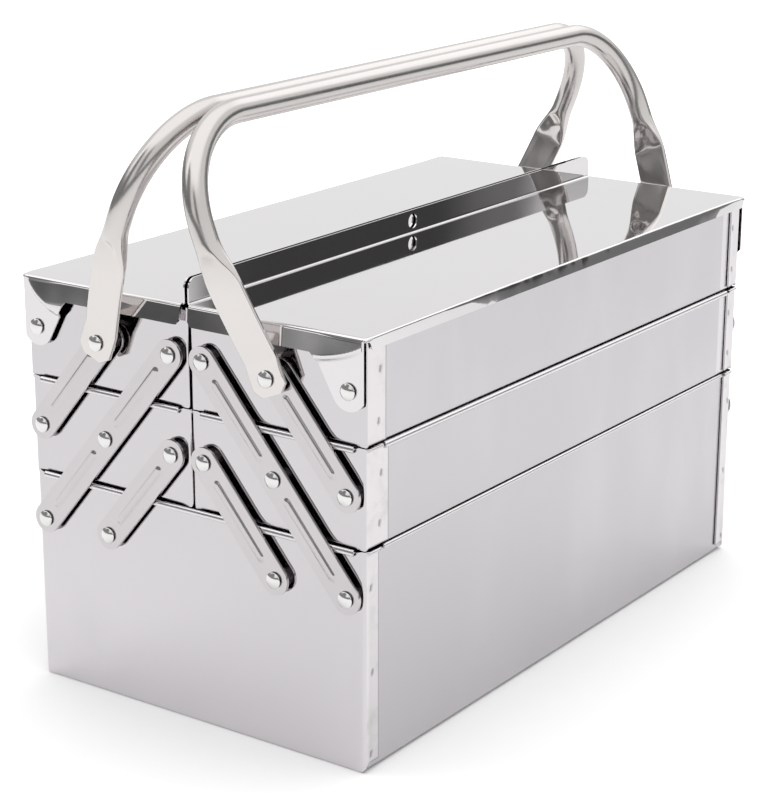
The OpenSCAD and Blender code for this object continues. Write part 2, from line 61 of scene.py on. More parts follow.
class Tree:
    """A node tree under construction, with short ways to add and link nodes."""

    def __init__(self, tree):
        self.tree = tree

    def node(self, kind, settings=None, **inputs):
        made = self.tree.nodes.new(kind)
        for key, value in (settings or {}).items():
            setattr(made, key, value)
        for key, value in inputs.items():
            self.feed(made.inputs[key.replace("_", " ")], value)
        return made

    def feed(self, socket, value):
        if isinstance(value, bpy.types.NodeSocket):
            self.tree.links.new(value, socket)
        else:
            socket.default_value = value

    def math(self, operation, *values, clamp=False):
        made = self.node("ShaderNodeMath", {"operation": operation, "use_clamp": clamp})
        for socket, value in zip(made.inputs, values):
            self.feed(socket, value)
        return made.outputs[0]

    def noise(self, vector, scale, detail=2.0, rough=0.5):
        made = self.node("ShaderNodeTexNoise", Vector=vector, Scale=scale, Detail=detail, Roughness=rough)
        return made.outputs["Fac"]

    def stretch(self, vector, scale):
        return self.node("ShaderNodeMapping", Vector=vector, Scale=scale).outputs["Vector"]

    def split(self, vector):
        return self.node("ShaderNodeSeparateXYZ", Vector=vector).outputs

    def remap(self, value, low, high, to_low=0.0, to_high=1.0, smooth=True):
        kind = {"interpolation_type": "SMOOTHSTEP" if smooth else "LINEAR"}
        made = self.node("ShaderNodeMapRange", kind, Value=value, From_Min=low, From_Max=high, To_Min=to_low,
                         To_Max=to_high)
        return made.outputs["Result"]

    def mix(self, share, first, second):
        return self.node("ShaderNodeMix", {"data_type": "FLOAT"}, Factor=share, A=first, B=second).outputs[0]

    def mix_colour(self, share, first, second):
        made = self.node("ShaderNodeMix", {"data_type": "RGBA"}, Factor=share)
        self.feed(made.inputs[6], first)
        self.feed(made.inputs[7], second)
        return made.outputs[2]

    def scaled(self, vector, scale):
        made = self.node("ShaderNodeVectorMath", {"operation": "SCALE"}, Vector=vector, Scale=scale)
        return made.outputs["Vector"]


def new_group(name, kind, inputs, outputs):
    """A node group. Inputs are a name, the kind of the socket and a default, and outputs a name and a kind.
    Returns its Tree, its input sockets by name and its output sockets."""
    group = bpy.data.node_groups.new(name, kind)
    for label, value_kind, value in inputs:
        socket = group.interface.new_socket(label, in_out="INPUT", socket_type="NodeSocket" + value_kind)
        if value is not None:
            socket.default_value = value
    for label, value_kind in outputs:
        group.interface.new_socket(label, in_out="OUTPUT", socket_type="NodeSocket" + value_kind)
    start, end = group.nodes.new("NodeGroupInput"), group.nodes.new("NodeGroupOutput")
    return Tree(group), {socket.name: socket for socket in start.outputs}, end.inputs


def effect(name, inputs, *outputs):
    """A shader node group that reads a place on the piece and puts out numbers."""
    sockets = [("Vector", "Vector", None)]
    for label, value in inputs.items():
        sockets.append((label, "Vector" if isinstance(value, tuple) else "Float", value))
    return new_group(name, "ShaderNodeTree", sockets, [(label, "Float") for label in outputs])


def rgba(colour):
    return (*colour, 1.0)


# ---- Effects shared by the steel finishes ----


def build_waviness(name):
    """Slow unevenness of rolled sheet, as a height in metres."""
    tree, given, out = effect(name, {"Waves per metre": 9.0, "Depth": 0.0004}, "Height")
    slow = tree.noise(given["Vector"], given["Waves per metre"], 1.0, 0.4)
    quick = tree.noise(given["Vector"], tree.math("MULTIPLY", given["Waves per metre"], 3.7), 1.0, 0.4)
    both = tree.math("MULTIPLY_ADD", quick, 0.22, slow)
    tree.feed(out["Height"], tree.math("MULTIPLY", both, given["Depth"]))
    return tree.tree


def build_grain(name):
    """Fine polishing lines along one direction: a height and a change of roughness."""
    inputs = {"Stretch": (900.0, 900.0, 12.0), "Depth": 0.000002, "Roughness change": 0.06}
    tree, given, out = effect(name, inputs, "Height", "Roughness")
    lines = tree.noise(tree.stretch(given["Vector"], given["Stretch"]), 1.0, 3.0, 0.6)
    tree.feed(out["Height"], tree.math("MULTIPLY", lines, given["Depth"]))
    centred = tree.math("SUBTRACT", lines, 0.5)
    tree.feed(out["Roughness"], tree.math("MULTIPLY", centred, given["Roughness change"]))
    return tree.tree


def build_smudges(name):
    """Cloudy haze and finger marks: a mask from 0 for clean to 1 for dull."""
    tree, given, out = effect(name, {"Size": 0.05, "Amount": 0.5}, "Mask")
    scale = tree.math("DIVIDE", 1.0, given["Size"])
    cloud = tree.remap(tree.noise(given["Vector"], scale, 5.0, 0.62), 0.36, 0.72)
    patch = tree.remap(tree.noise(given["Vector"], tree.math("MULTIPLY", scale, 0.35)), 0.35, 0.7)
    both = tree.math("MULTIPLY", cloud, patch)
    tree.feed(out["Mask"], tree.math("MULTIPLY", both, given["Amount"], clamp=True))
    return tree.tree


def build_scratches(name):
    """Sparse hair scratches in two directions: a mask."""
    tree, given, out = effect(name, {"Spacing": 0.012, "Amount": 0.5}, "Mask")
    scale = tree.math("DIVIDE", 1.0, given["Spacing"])
    masks = []
    for turn, stretch in ((0.5, (6.0, 0.25, 6.0)), (2.0, (0.3, 5.0, 5.0))):
        rotation = (turn, turn * 0.7, turn * 0.4)
        rotated = tree.node("ShaderNodeMapping", Vector=given["Vector"], Rotation=rotation)
        field = tree.noise(tree.stretch(rotated.outputs["Vector"], stretch), scale)
        ridge = tree.math("ABSOLUTE", tree.math("SUBTRACT", field, 0.5))
        masks.append(tree.remap(ridge, 0.0, 0.006, 1.0, 0.0))
    patch = tree.remap(tree.noise(given["Vector"], tree.math("MULTIPLY", scale, 0.3), 1.0), 0.5, 0.66)
    both = tree.math("MULTIPLY", tree.math("MAXIMUM", *masks), patch)
    tree.feed(out["Mask"], tree.math("MULTIPLY", both, given["Amount"], clamp=True))
    return tree.tree


def place_group(tree, name, build, **inputs):
    """Put an effect in a material. It is built the first time that it is asked for."""
    group = bpy.data.node_groups.get(name) or build(name)
    return tree.node("ShaderNodeGroup", {"node_tree": group}, **inputs).outputs


# ---- Finishes ----


SCRATCH_DEPTH = 0.000003
SCRATCH_ROUGHNESS = 0.12
# Colour of the dark weld marks, also used as a painted shade line along the sheet's free edges
WELD_AND_EDGE_SHADE_COLOUR = (0.12, 0.11, 0.105)


def colour(name, description, default):
    return bpy.props.FloatVectorProperty(name=name, description=description, subtype="COLOR", size=3, min=0.0,
                                         max=1.0, default=default)


def ratio(name, description, default, least=0.0, most=1.0):
    return bpy.props.FloatProperty(name=name, description=description, default=default, min=least, max=most)


class FinishSettings(bpy.types.PropertyGroup):
    """Colours and polish of the steel finishes."""

    mirror_colour: colour("Lid steel", "Colour of the mirror-polished lids", (0.705, 0.69, 0.695))
    sheet_colour: colour("Side steel", "Colour of the satin long sides", (0.545, 0.527, 0.545))
    panel_colour: colour("End steel", "Colour of the bright end panels", (0.675, 0.652, 0.67))
    flange_colour: colour("Flange steel", "Colour of the end panels' side flanges", (0.71, 0.685, 0.70))
    handle_colour: colour("Handle steel", "Colour of the handles", (0.69, 0.66, 0.645))
    arm_colour: colour("Arm steel", "Colour of the arms", (0.565, 0.543, 0.552))
    rivet_colour: colour("Rivet steel", "Colour of the rivets", (0.76, 0.755, 0.75))
    # The spacers are darkened as painted shade, since they sit in the shadow behind the arms
    spacer_shade_colour: colour("Spacer steel", "Colour of the spacers behind the arms", (0.25, 0.245, 0.24))
    mirror_roughness: ratio("Lid roughness", "Roughness of the mirror-polished lids", 0.03)
    sheet_roughness: ratio("Side roughness", "Roughness of the satin long sides", 0.16)
    panel_roughness: ratio("End roughness", "Roughness of the end panels", 0.06)
    arm_roughness: ratio("Arm roughness", "Roughness of the arms", 0.14)
    handle_roughness: ratio("Handle roughness", "Roughness of the handles", 0.2)


def steel(name, clean, hazy, waves, grain, smudges, scratches, fade=None, weld=0.0, drawn=1.0, band=None):
    """Stainless steel in one finish, with the sheet's waviness, polishing lines, haze and hair scratches.
    Clean and hazy are each a colour and a roughness. Waves are their number to a metre and their depth, grain
    is its stretch, depth and change of roughness, smudges are their size and amount, and scratches are their
    spacing and amount. Fade is a low and a high place, the share of the colour left at the high one, which
    paints shade that darkens the piece upwards, and the share of the roughness left at the low one. Weld is
    how dark the pressed marks are: dark weld marks, and a painted shade line along the sheet's free edges.
    Drawn below one draws the haze out upright. Band is the start, foot and colour of a lighter upright band."""
    material = bpy.data.materials.get(name)
    if material:
        return material
    material = bpy.data.materials.new(name)
    material.use_nodes = True
    tree = Tree(material.node_tree)
    shader = tree.tree.nodes["Principled BSDF"]
    shader.inputs["Metallic"].default_value = 1.0
    place = tree.node("ShaderNodeTexCoord").outputs["Object"]
    wavy = place_group(tree, "Sheet waviness", build_waviness, Vector=place, Waves_per_metre=waves[0],
                       Depth=waves[1])
    lines = place_group(tree, "Polishing lines", build_grain, Vector=place, Stretch=grain[0], Depth=grain[1],
                        Roughness_change=grain[2])
    drawn_place = tree.stretch(place, (1.0, 1.0, drawn))
    dull = place_group(tree, "Smudges", build_smudges, Vector=drawn_place, Size=smudges[0],
                       Amount=smudges[1])["Mask"]
    hair = place_group(tree, "Hair scratches", build_scratches, Vector=place, Spacing=scratches[0],
                       Amount=scratches[1])["Mask"]
    tint = tree.mix_colour(dull, rgba(clean[0]), rgba(hazy[0]))
    polish = 1.0
    # Painted shade: the colour darkens from the low place to the high one
    if fade:
        low, high, colour_left, roughness_left = fade
        rise = tree.remap(tree.split(place)["Z"], low, high, smooth=False)
        tint = tree.mix_colour(rise, tint, rgba([c * colour_left for c in clean[0]]))
        polish = tree.remap(rise, 0.0, 1.0, roughness_left, 1.0, False)
    if band:
        start, foot, band_colour = band
        soft = 0.0003
        split = tree.split(place)
        share = tree.math("MULTIPLY", tree.remap(split["X"], start - soft, start + soft),
                          tree.remap(split["Z"], foot, foot + 0.001))
        tint = tree.mix_colour(share, tint, rgba(band_colour))
    # Dark weld marks, and painted shade along the sheet's free edges, both from the pressed mask
    if weld:
        weld_and_edge_shade = tree.node("ShaderNodeAttribute", {"attribute_name": "pressed"}).outputs["Fac"]
        tint = tree.mix_colour(tree.math("MULTIPLY", weld_and_edge_shade, weld), tint, rgba(WELD_AND_EDGE_SHADE_COLOUR))
    tree.feed(shader.inputs["Base Color"], tint)
    rough = tree.math("ADD", lines["Roughness"], tree.remap(dull, 0.0, 1.0, clean[1], hazy[1], False))
    rough = tree.math("MULTIPLY_ADD", hair, SCRATCH_ROUGHNESS, rough)
    tree.feed(shader.inputs["Roughness"], tree.math("MULTIPLY", rough, polish, clamp=True))
    height = tree.math("ADD", wavy["Height"], lines["Height"])
    height = tree.math("MULTIPLY_ADD", hair, -SCRATCH_DEPTH, height)
    bump = tree.node("ShaderNodeBump", Strength=1.0, Distance=1.0, Height=height)
    tree.feed(shader.inputs["Normal"], bump.outputs["Normal"])
    return material


def mirror_steel():
    f = bpy.context.scene.toolbox_finish
    return steel("Mirror steel", (f.mirror_colour, f.mirror_roughness), ((0.65, 0.635, 0.64), 0.10),
                 waves=(7.0, 0.00012), grain=((700.0, 9.0, 700.0), 0.0000003, 0.03), smudges=(0.06, 0.35),
                 scratches=(0.03, 0.25))


def satin_steel():
    f = bpy.context.scene.toolbox_finish
    return steel("Satin steel", (f.sheet_colour, f.sheet_roughness), ((0.60, 0.58, 0.60), 0.26),
                 waves=(9.0, 0.00030), grain=((300.0, 300.0, 5.0), 0.000003, 0.12), smudges=(0.035, 0.9),
                 scratches=(0.02, 0.35), drawn=0.35, band=(0.1615, 0.111, (0.69, 0.67, 0.685)))


def bright_steel():
    f = bpy.context.scene.toolbox_finish
    # The end panels darken upwards, a painted shade that evens out how their reflection brightens towards the
    # top
    return steel("Bright steel", (f.panel_colour, f.panel_roughness), ((0.60, 0.58, 0.60), 0.14),
                 waves=(12.0, 0.00016), grain=((800.0, 10.0, 800.0), 0.0000006, 0.04), smudges=(0.04, 0.5),
                 scratches=(0.016, 0.4), fade=(0.01, 0.10, 0.88, 1.0))


def flange_steel():
    f = bpy.context.scene.toolbox_finish
    # The flanges carry dark weld marks and a painted shade line along their free edges
    return steel("Flange steel", (f.flange_colour, f.panel_roughness), ((0.60, 0.58, 0.575), 0.2),
                 waves=(60.0, 0.00012), grain=((600.0, 600.0, 60.0), 0.000001, 0.03), smudges=(0.006, 0.9),
                 scratches=(0.008, 0.6), weld=0.8)


def edge_steel():
    f = bpy.context.scene.toolbox_finish
    return steel("Edge steel", (f.flange_colour, 0.2), ((0.7, 0.68, 0.69), 0.26),
                 waves=(40.0, 0.00003), grain=((600.0, 600.0, 600.0), 0.0000006, 0.04), smudges=(0.012, 0.5),
                 scratches=(0.008, 0.3))


def warm_steel():
    f = bpy.context.scene.toolbox_finish
    # The tube is darker than the blades below it, a painted shade against the bright overhead; the blades are
    # also smoother
    return steel("Warm steel", (f.handle_colour, f.handle_roughness), ((0.68, 0.65, 0.62), 0.28),
                 waves=(30.0, 0.00006), grain=((900.0, 900.0, 30.0), 0.0000015, 0.08), smudges=(0.02, 0.7),
                 scratches=(0.01, 0.5), fade=(0.222, 0.262, 0.82, 0.45))


def arm_steel():
    f = bpy.context.scene.toolbox_finish
    return steel("Arm steel", (f.arm_colour, f.arm_roughness), ((0.62, 0.59, 0.60), 0.24),
                 waves=(30.0, 0.00005), grain=((900.0, 900.0, 30.0), 0.000001, 0.05), smudges=(0.02, 0.5),
                 scratches=(0.01, 0.4))


def rivet_steel():
    f = bpy.context.scene.toolbox_finish
    return steel("Rivet steel", (f.rivet_colour, 0.10), ((0.66, 0.65, 0.64), 0.22),
                 waves=(60.0, 0.00001), grain=((900.0, 900.0, 900.0), 0.000002, 0.05), smudges=(0.006, 0.5),
                 scratches=(0.004, 0.3))


# Dark steel for the spacers: painted shade, as they sit in shadow behind the arms and ears
def spacer_shade_steel():
    f = bpy.context.scene.toolbox_finish
    return steel("Spacer shade steel", (f.spacer_shade_colour, 0.3), ((0.2, 0.2, 0.2), 0.35),
                 waves=(40.0, 0.00001), grain=((600.0, 600.0, 600.0), 0.000002, 0.06), smudges=(0.01, 0.5),
                 scratches=(0.006, 0.3))


# ---- Shape helpers ----


def blend(low, high, share):
    return low + (high - low) * share


def ease(value, low, high):
    """0 below low, 1 above high, smooth between."""
    share = min(1.0, max(0.0, (value - low) / (high - low)))
    return share * share * (3 - 2 * share)


def steps(low, high, gap):
    """Numbers from low to high, about gap apart, with both ends."""
    count = max(1, round(abs(high - low) / gap))
    return [blend(low, high, k / count) for k in range(count + 1)]


def arc(centre, radius, start, end, count):
    """Points of an arc in a plane, from one angle to another in degrees."""
    turns = [math.radians(blend(start, end, k / count)) for k in range(count + 1)]
    return [(centre[0] + radius * math.cos(t), centre[1] + radius * math.sin(t)) for t in turns]


def loft(shape, rings, wrap=True, caps=True):
    """Skin a row of rings that all have as many points."""
    rows = [[shape.verts.new(point) for point in ring] for ring in rings]
    count = len(rings[0])
    for low, high in zip(rows, rows[1:]):
        for i in range(count if wrap else count - 1):
            j = (i + 1) % count
            shape.faces.new((low[i], low[j], high[j], high[i]))
    if caps:
        shape.faces.new(rows[0][::-1])
        shape.faces.new(rows[-1])
    return rows


def lathe(shape, profile, count):
    """Turn a profile of radius and height about Z. The profile starts and ends on the axis."""
    poles = [shape.verts.new((0, 0, profile[k][1])) for k in (0, -1)]
    rings = [[(r * math.cos(a), r * math.sin(a), z) for a in (math.tau * i / count for i in range(count))]
             for r, z in profile[1:-1]]
    rows = loft(shape, rings, caps=False)
    for pole, row in ((poles[0], rows[0]), (poles[1], rows[-1])):
        for i in range(count):
            shape.faces.new((pole, row[i], row[(i + 1) % count]))


def open_loft(shape, rows):
    """Skin rows of points as an open sheet."""
    loft(shape, rows, wrap=False, caps=False)


def mesh_of(name, shape, closed=True):
    """Turn a bmesh into a mesh. A closed one gets its faces turned outwards."""
    if closed:
        bmesh.ops.recalc_face_normals(shape, faces=shape.faces)
    made = bpy.data.meshes.new(name)
    shape.to_mesh(made)
    shape.free()
    return made


def grid_mesh(name, rows, end):
    """Open sheet through rows of points, its faces turned outwards at one end of the case."""
    shape = bmesh.new()
    open_loft(shape, rows)
    made = mesh_of(name, shape, closed=False)
    outermost = max(made.polygons, key=lambda face: abs(face.center.x))
    if outermost.normal.x * ENDS[end] < 0:
        made.flip_normals()
    return made


def thickened(thickness, **more):
    """The modifier that gives a sheet its thickness, inwards from its outer face."""
    return ("SOLIDIFY", {"thickness": thickness, "offset": -1.0, **more})


def broken_edges(width):
    """The modifier that takes the sharpness off a piece's edges."""
    least = math.radians(60)
    return ("BEVEL", {"width": width, "segments": 2, "limit_method": "ANGLE", "angle_limit": least})


def baked(name, data, *modifiers):
    """Run modifiers over a mesh and return the result as a plain mesh.
    Each is a type with its settings, or a geometry tree with its inputs by name."""
    carrier = add_object(name + "_work", data)
    for kind, settings in modifiers:
        if isinstance(kind, bpy.types.NodeTree):
            modifier = carrier.modifiers.new(kind.name, "NODES")
            modifier.node_group = kind
            for item in kind.interface.items_tree:
                if item.item_type == "SOCKET" and item.in_out == "INPUT" and item.name in settings:
                    modifier[item.identifier] = settings[item.name]
        else:
            modifier = carrier.modifiers.new(kind.title(), kind)
            for key, value in settings.items():
                setattr(modifier, key, value)
    graph = bpy.context.evaluated_depsgraph_get()
    made = bpy.data.meshes.new_from_object(carrier.evaluated_get(graph), depsgraph=graph)
    carrier.modifiers.clear()
    bpy.data.objects.remove(carrier)
    made.name = name
    return made


def add_object(name, data):
    made = bpy.data.objects.new(name, data)
    bpy.context.scene.collection.objects.link(made)
    return made


def finish_piece(name, data, material, body, replaced, crisp=35, others=()):
    """Put a finished mesh in the scene in place of the nodes that it stands for."""
    data.name = name
    slots = [face.material_index for face in data.polygons]
    data.materials.clear()
    for made in (material, *others):
        data.materials.append(made)
    data.polygons.foreach_set("material_index", slots if others else [0] * len(slots))
    data.shade_smooth()
    data.set_sharp_from_angle(angle=math.radians(crisp))
    made = add_object(name, data)
    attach(made, body)
    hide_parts(*replaced)
    return made


def marked(data, index, facing=lambda normal: True):
    """Give the faces that face some way another of the piece's materials."""
    for face in data.polygons:
        if facing(face.normal):
            face.material_index = index
    return data


def joined(name, *meshes):
    """One mesh of several. Each keeps its material numbers."""
    shape = bmesh.new()
    for data in meshes:
        shape.from_mesh(data)
    return mesh_of(name, shape, closed=False)


# ---- Sizes ----


def length(name, description, default):
    return bpy.props.FloatProperty(name=name, description=description, default=default, unit="LENGTH",
                                   precision=4, min=0.0)


def place_along(name, description, default):
    return bpy.props.FloatProperty(name=name, description=description, default=default, unit="LENGTH",
                                   precision=4)


def angle(name, description, degrees):
    return bpy.props.FloatProperty(name=name, description=description, default=math.radians(degrees),
                                   unit="ROTATION")


def pair(name, description, default):
    return bpy.props.FloatVectorProperty(name=name, description=description, default=default, size=2,
                                         unit="LENGTH")


class CaseSettings(bpy.types.PropertyGroup):
    """Sizes of the case and its trays. They match the frame that the pieces are fitted to."""

    case_l: length("Length", "Length over the end panels", 0.360)
    case_w: length("Width", "Width over the long sides", 0.200)
    base_h: length("Base height", "Height of the base", 0.110)
    tray_h: length("Tray height", "Height of each upper tray", 0.0487)
    sheet: length("Sheet", "Thickness of the tray sheet", 0.0008)
    base_bend_r: length("Base bend", "Radius of the bend between the base's floor and its sides", 0.004)
    tray_bend_r: length("Tray bend", "Radius of the bend between a tray's floor and its sides", 0.0007)
    base_foot_r: length("Base foot", "Radius of the lower corners of the base's end panels", 0.0052)
    tray_foot_r: length("Tray foot", "Radius of the lower corners of the trays' end panels", 0.001)
    base_fold_r: length("Base corner", "Radius of the upright corners of the base", 0.0026)
    fold_r: length("Fold", "Radius of a sharp fold", 0.0016)
    flange_w: length("End flange", "Width of the flanges that wrap a back end panel round the sides", 0.011)
    base_flange_w: length("Base front flange", "Width of the side flanges of the base's front end", 0.0095)
    mid_flange_w: length("Middle front flange", "Width of the middle trays' front side flanges", 0.017)
    top_flange_w: length("Top front flange", "Width of the top trays' front side flanges", 0.014)
    base_rod: length("Base side edge", "Diameter of the base's rolled side edges", 0.0022)
    mid_rod: length("Middle side edge", "Diameter of the middle trays' rolled side edges", 0.0032)
    top_rod: length("Top side edge", "Diameter of the top trays' rolled side edges", 0.0022)
    top_stand: length("Top flange stand-off", "How far the top trays' front side flanges stand off", 0.0007)
    hem_reach: length("Side edge reach", "Distance from the middle to the ends of the side edges", 0.1665)
    tab_h: length("Floor tab", "Height of the floor's tabs behind the end panels", 0.009)
    hem_d: length("Rolled edge", "Diameter of the rolled top edges", 0.0026)
    hem_tall: ratio("End edge slope", "Stretch of a rolled end edge's upper half", 1.7, 1.0, 3.0)
    strip_bead: length("Flange bead", "Radius of the bead along the top of a side flange", 0.0009)
    end_hem_stop: length("End edge stop", "How far a rolled end edge stops short of the long side", 0.0055)
    seat_gap: length("Seat gap", "Gap between a tray and the rolled edge below it", 0.0003)
    mid_gap: length("Middle gap", "Gap between the two middle trays", 0.001)
    top_gap: length("Top gap", "Gap between the two top trays", 0.003)
    toe_r: length("End panel toe", "Radius of the bend at the foot of a tray's end panel", 0.0017)
    tab_r: length("Tab fold", "Radius of the fold between a tray's floor and its tabs", 0.0026)
    weld_d: length("Weld", "Width of the spot-weld dimples", 0.0024)
    weld_depth: length("Weld depth", "Depth of the spot-weld dimples", 0.0004)
    flange_lift: length("Flange lift", "How far the back side flanges' free edges stand off", 0.00035)


class LinkSettings(bpy.types.PropertyGroup):
    """Sizes of the arms, rivets and spacers."""

    pivot_edge: length("Outer pivot", "Distance from the long side to the outer arm pivots", 0.008)
    pivot_in: length("Inner pivot", "Distance from the middle to the inner arm pivots", 0.010)
    pivot_drop: length("Pivot drop", "Drop of each arm pivot below its tray's top edge", 0.0235)
    arm_w: length("Arm width", "Width of the arms", 0.015)
    arm_t: length("Arm thickness", "Thickness of the arms", 0.0015)
    arm_off: length("Arm stand-off", "Distance that the arms stand off the end panels", 0.0022)
    rib_w: length("Rib width", "Width of the pressed ribs", 0.0046)
    rib_h: length("Rib height", "Height of the pressed ribs", 0.0007)
    rib_end: length("Rib end", "Distance from a rivet's centre to the end of a rib", 0.010)
    side_play: length("Side play", "Side play at each face of a turning piece", 0.00015)
    shank_d: length("Shank", "Diameter of the rivet shanks", 0.005)
    head_d: length("Head", "Diameter of the rivet heads", 0.008)
    head_h: length("Head height", "Height of the rivet heads", 0.0021)
    tail_d: length("Tail", "Diameter of the formed rivet tails", 0.008)
    tail_h: length("Tail height", "Height of the formed rivet tails", 0.0014)


class LidSettings(bpy.types.PropertyGroup):
    """Sizes of the lids."""

    sheet: length("Sheet", "Thickness of the lid sheet", 0.0008)
    over: length("Overhang", "Distance that the lids overhang the case", 0.003)
    clear: length("Clearance", "Clearance between a closed lid and the tray's rolled edge", 0.0003)
    pivot_edge: length("Pivot", "Distance from the long side to the lid pivots", 0.0067)
    pivot_drop: length("Pivot drop", "Drop of the lid pivots below the top trays' edge", 0.023)
    upstand_h: length("Upstand", "Height of the upright middle edge above the lid", 0.012)
    upstand_gap: length("Upstand gap", "Gap between the two upright edges", 0.0017)
    upstand_r: length("Upstand corner", "Radius of the upright edge's upper corners", 0.005)
    lock_d: length("Lock hole", "Diameter of the hole for a padlock", 0.008)
    lock_drop: length("Lock hole drop", "Drop of the hole's centre below the upright edge", 0.006)
    side_flange_h: length("Side flange", "Height of the flange along the long side", 0.0057)
    side_fold_r: length("Side fold", "Radius of the fold along the long side", 0.0010)
    splay: angle("Side flange splay", "Angle at which the long flange splays out", 13.7)
    splay_from: place_along("Splay start", "Where the full splay starts along the case", -0.045)
    splay_to: place_along("Splay end", "Where the full splay ends along the case", 0.10)
    end_flange_h: length("End flange", "Height of the flared flange at each end", 0.010)
    flange_r: length("End flange corner", "Radius of the end flange's free corner", 0.0025)
    flare: angle("Flare", "Angle at which the end flanges flare out", 11)
    ear_r: length("Ear radius", "Radius of the ears about the lid pivots", 0.0094)
    ear_w: length("Ear width", "Width of the ears at the end flange", 0.027)
    ear_drop: length("Ear shoulder", "Drop of the ear's shoulder below the end flange", 0.003)
    ear_fillet: length("Ear fillet", "Radius between the end flange and the ear", 0.005)
    crease_y: length("Crease centre", "Distance from the middle to the centre of the creases", 0.0562)
    left_crease: pair("Left crease", "Depth and half width of the left lid's crease", (0.0215, 0.0432))
    right_crease: pair("Right crease", "Depth and half width of the right lid's crease", (0.0157, 0.0485))
    flare_most: length("Flare limit", "Furthest that the flared flange stands out", 0.0022)
    ear_side: length("Ear side", "How far the ears' straight sides stand outside the case", 0.0011)
    crease_slope: ratio("Crease slope", "Slope of the crease's wall", 0.8, 0.1, 10.0)
    corner_r: length("Corner", "Radius of the rolled outer corners", 0.0025)
    corner_h: length("Corner height", "Height of the rolled outer corners", 0.0018)


class HandleSettings(bpy.types.PropertyGroup):
    """Sizes of the carrying handles."""

    height: length("Height", "Distance from the handle pivots to the middle of the grip", 0.120)
    tube_d: length("Tube", "Diameter of the handle tube", 0.012)
    grip_gap: length("Grip gap", "Gap between the two grips as they lean together", 0.0006)
    shoulder: length("Shoulder", "Distance of the tube's shoulders outside the end panels", 0.0175)
    bend_r: length("Bend", "Radius of the upper bends along the tube's middle", 0.048)
    blade_w: length("Blade width", "Width of the flattened ends", 0.0195)
    blade_t: length("Blade thickness", "Thickness of the flattened ends", 0.0024)
    blade_tip: length("Blade tip", "Distance from the pivot to the end of the blade", 0.008)
    blade_clip: length("Blade clip", "Clipped corners of the blade", 0.004)
    blade_flat: length("Blade flat", "Height at which the blade starts to lean outwards", 0.008)
    open_start: length("Opening start", "Height at which the blade starts to open into the tube", 0.048)
    open_l: length("Opening length", "Length of the stretch in which the blade opens", 0.018)
    pinch: ratio("Pinch", "Depth of the groove where the tube is flattened", 0.45, 0.0, 0.8)


class Sizes:
    """Every size that the pieces share, worked out from the settings."""

    def __init__(self):
        scene = bpy.context.scene
        self.case, self.link, self.lid, self.handle = (
            scene.toolbox_case, scene.toolbox_link, scene.toolbox_lid, scene.toolbox_handle)
        case, link = self.case, self.link
        self.half_l, self.half_w = case.case_l / 2, case.case_w / 2
        self.pitch = case.tray_h + case.seat_gap
        self.mid_z = case.base_h + case.seat_gap
        self.top_z = self.mid_z + self.pitch
        self.case_h = self.top_z + case.tray_h
        self.mid_w = (case.case_w - case.mid_gap) / 2 - case.sheet
        self.top_w = (case.case_w - case.top_gap) / 2 - case.sheet
        self.mid_y = (case.case_w - self.mid_w) / 2
        self.top_y = (case.case_w - self.top_w) / 2
        self.pivot_in = link.pivot_in
        self.pivot_out = self.half_w - link.pivot_edge
        self.pivot_mid = (self.pivot_in + self.pivot_out) / 2
        self.base_pivot_z = case.base_h - link.pivot_drop
        self.mid_pivot_z = self.base_pivot_z + self.pitch
        self.top_pivot_z = self.mid_pivot_z + self.pitch
        self.arm_head_at = link.arm_off + link.arm_t + link.side_play
        self.blade_at = self.arm_head_at + link.arm_t + link.side_play
        self.blade_head_at = self.blade_at + self.handle.blade_t + link.side_play
        self.ear_head_at = self.lid.over + link.side_play
        self.lid_pivot_y = self.half_w - self.lid.pivot_edge
        self.lid_pivot_z = self.case_h - self.lid.pivot_drop
        self.bore_r = link.shank_d / 2 + link.side_play


def turned(points, end, side):
    """Mirror points drawn for the front end of the left side to another end and side."""
    return [(-x * ENDS[end], y * SIDES[side], z) for x, y, z in points]


# ---- Arms ----


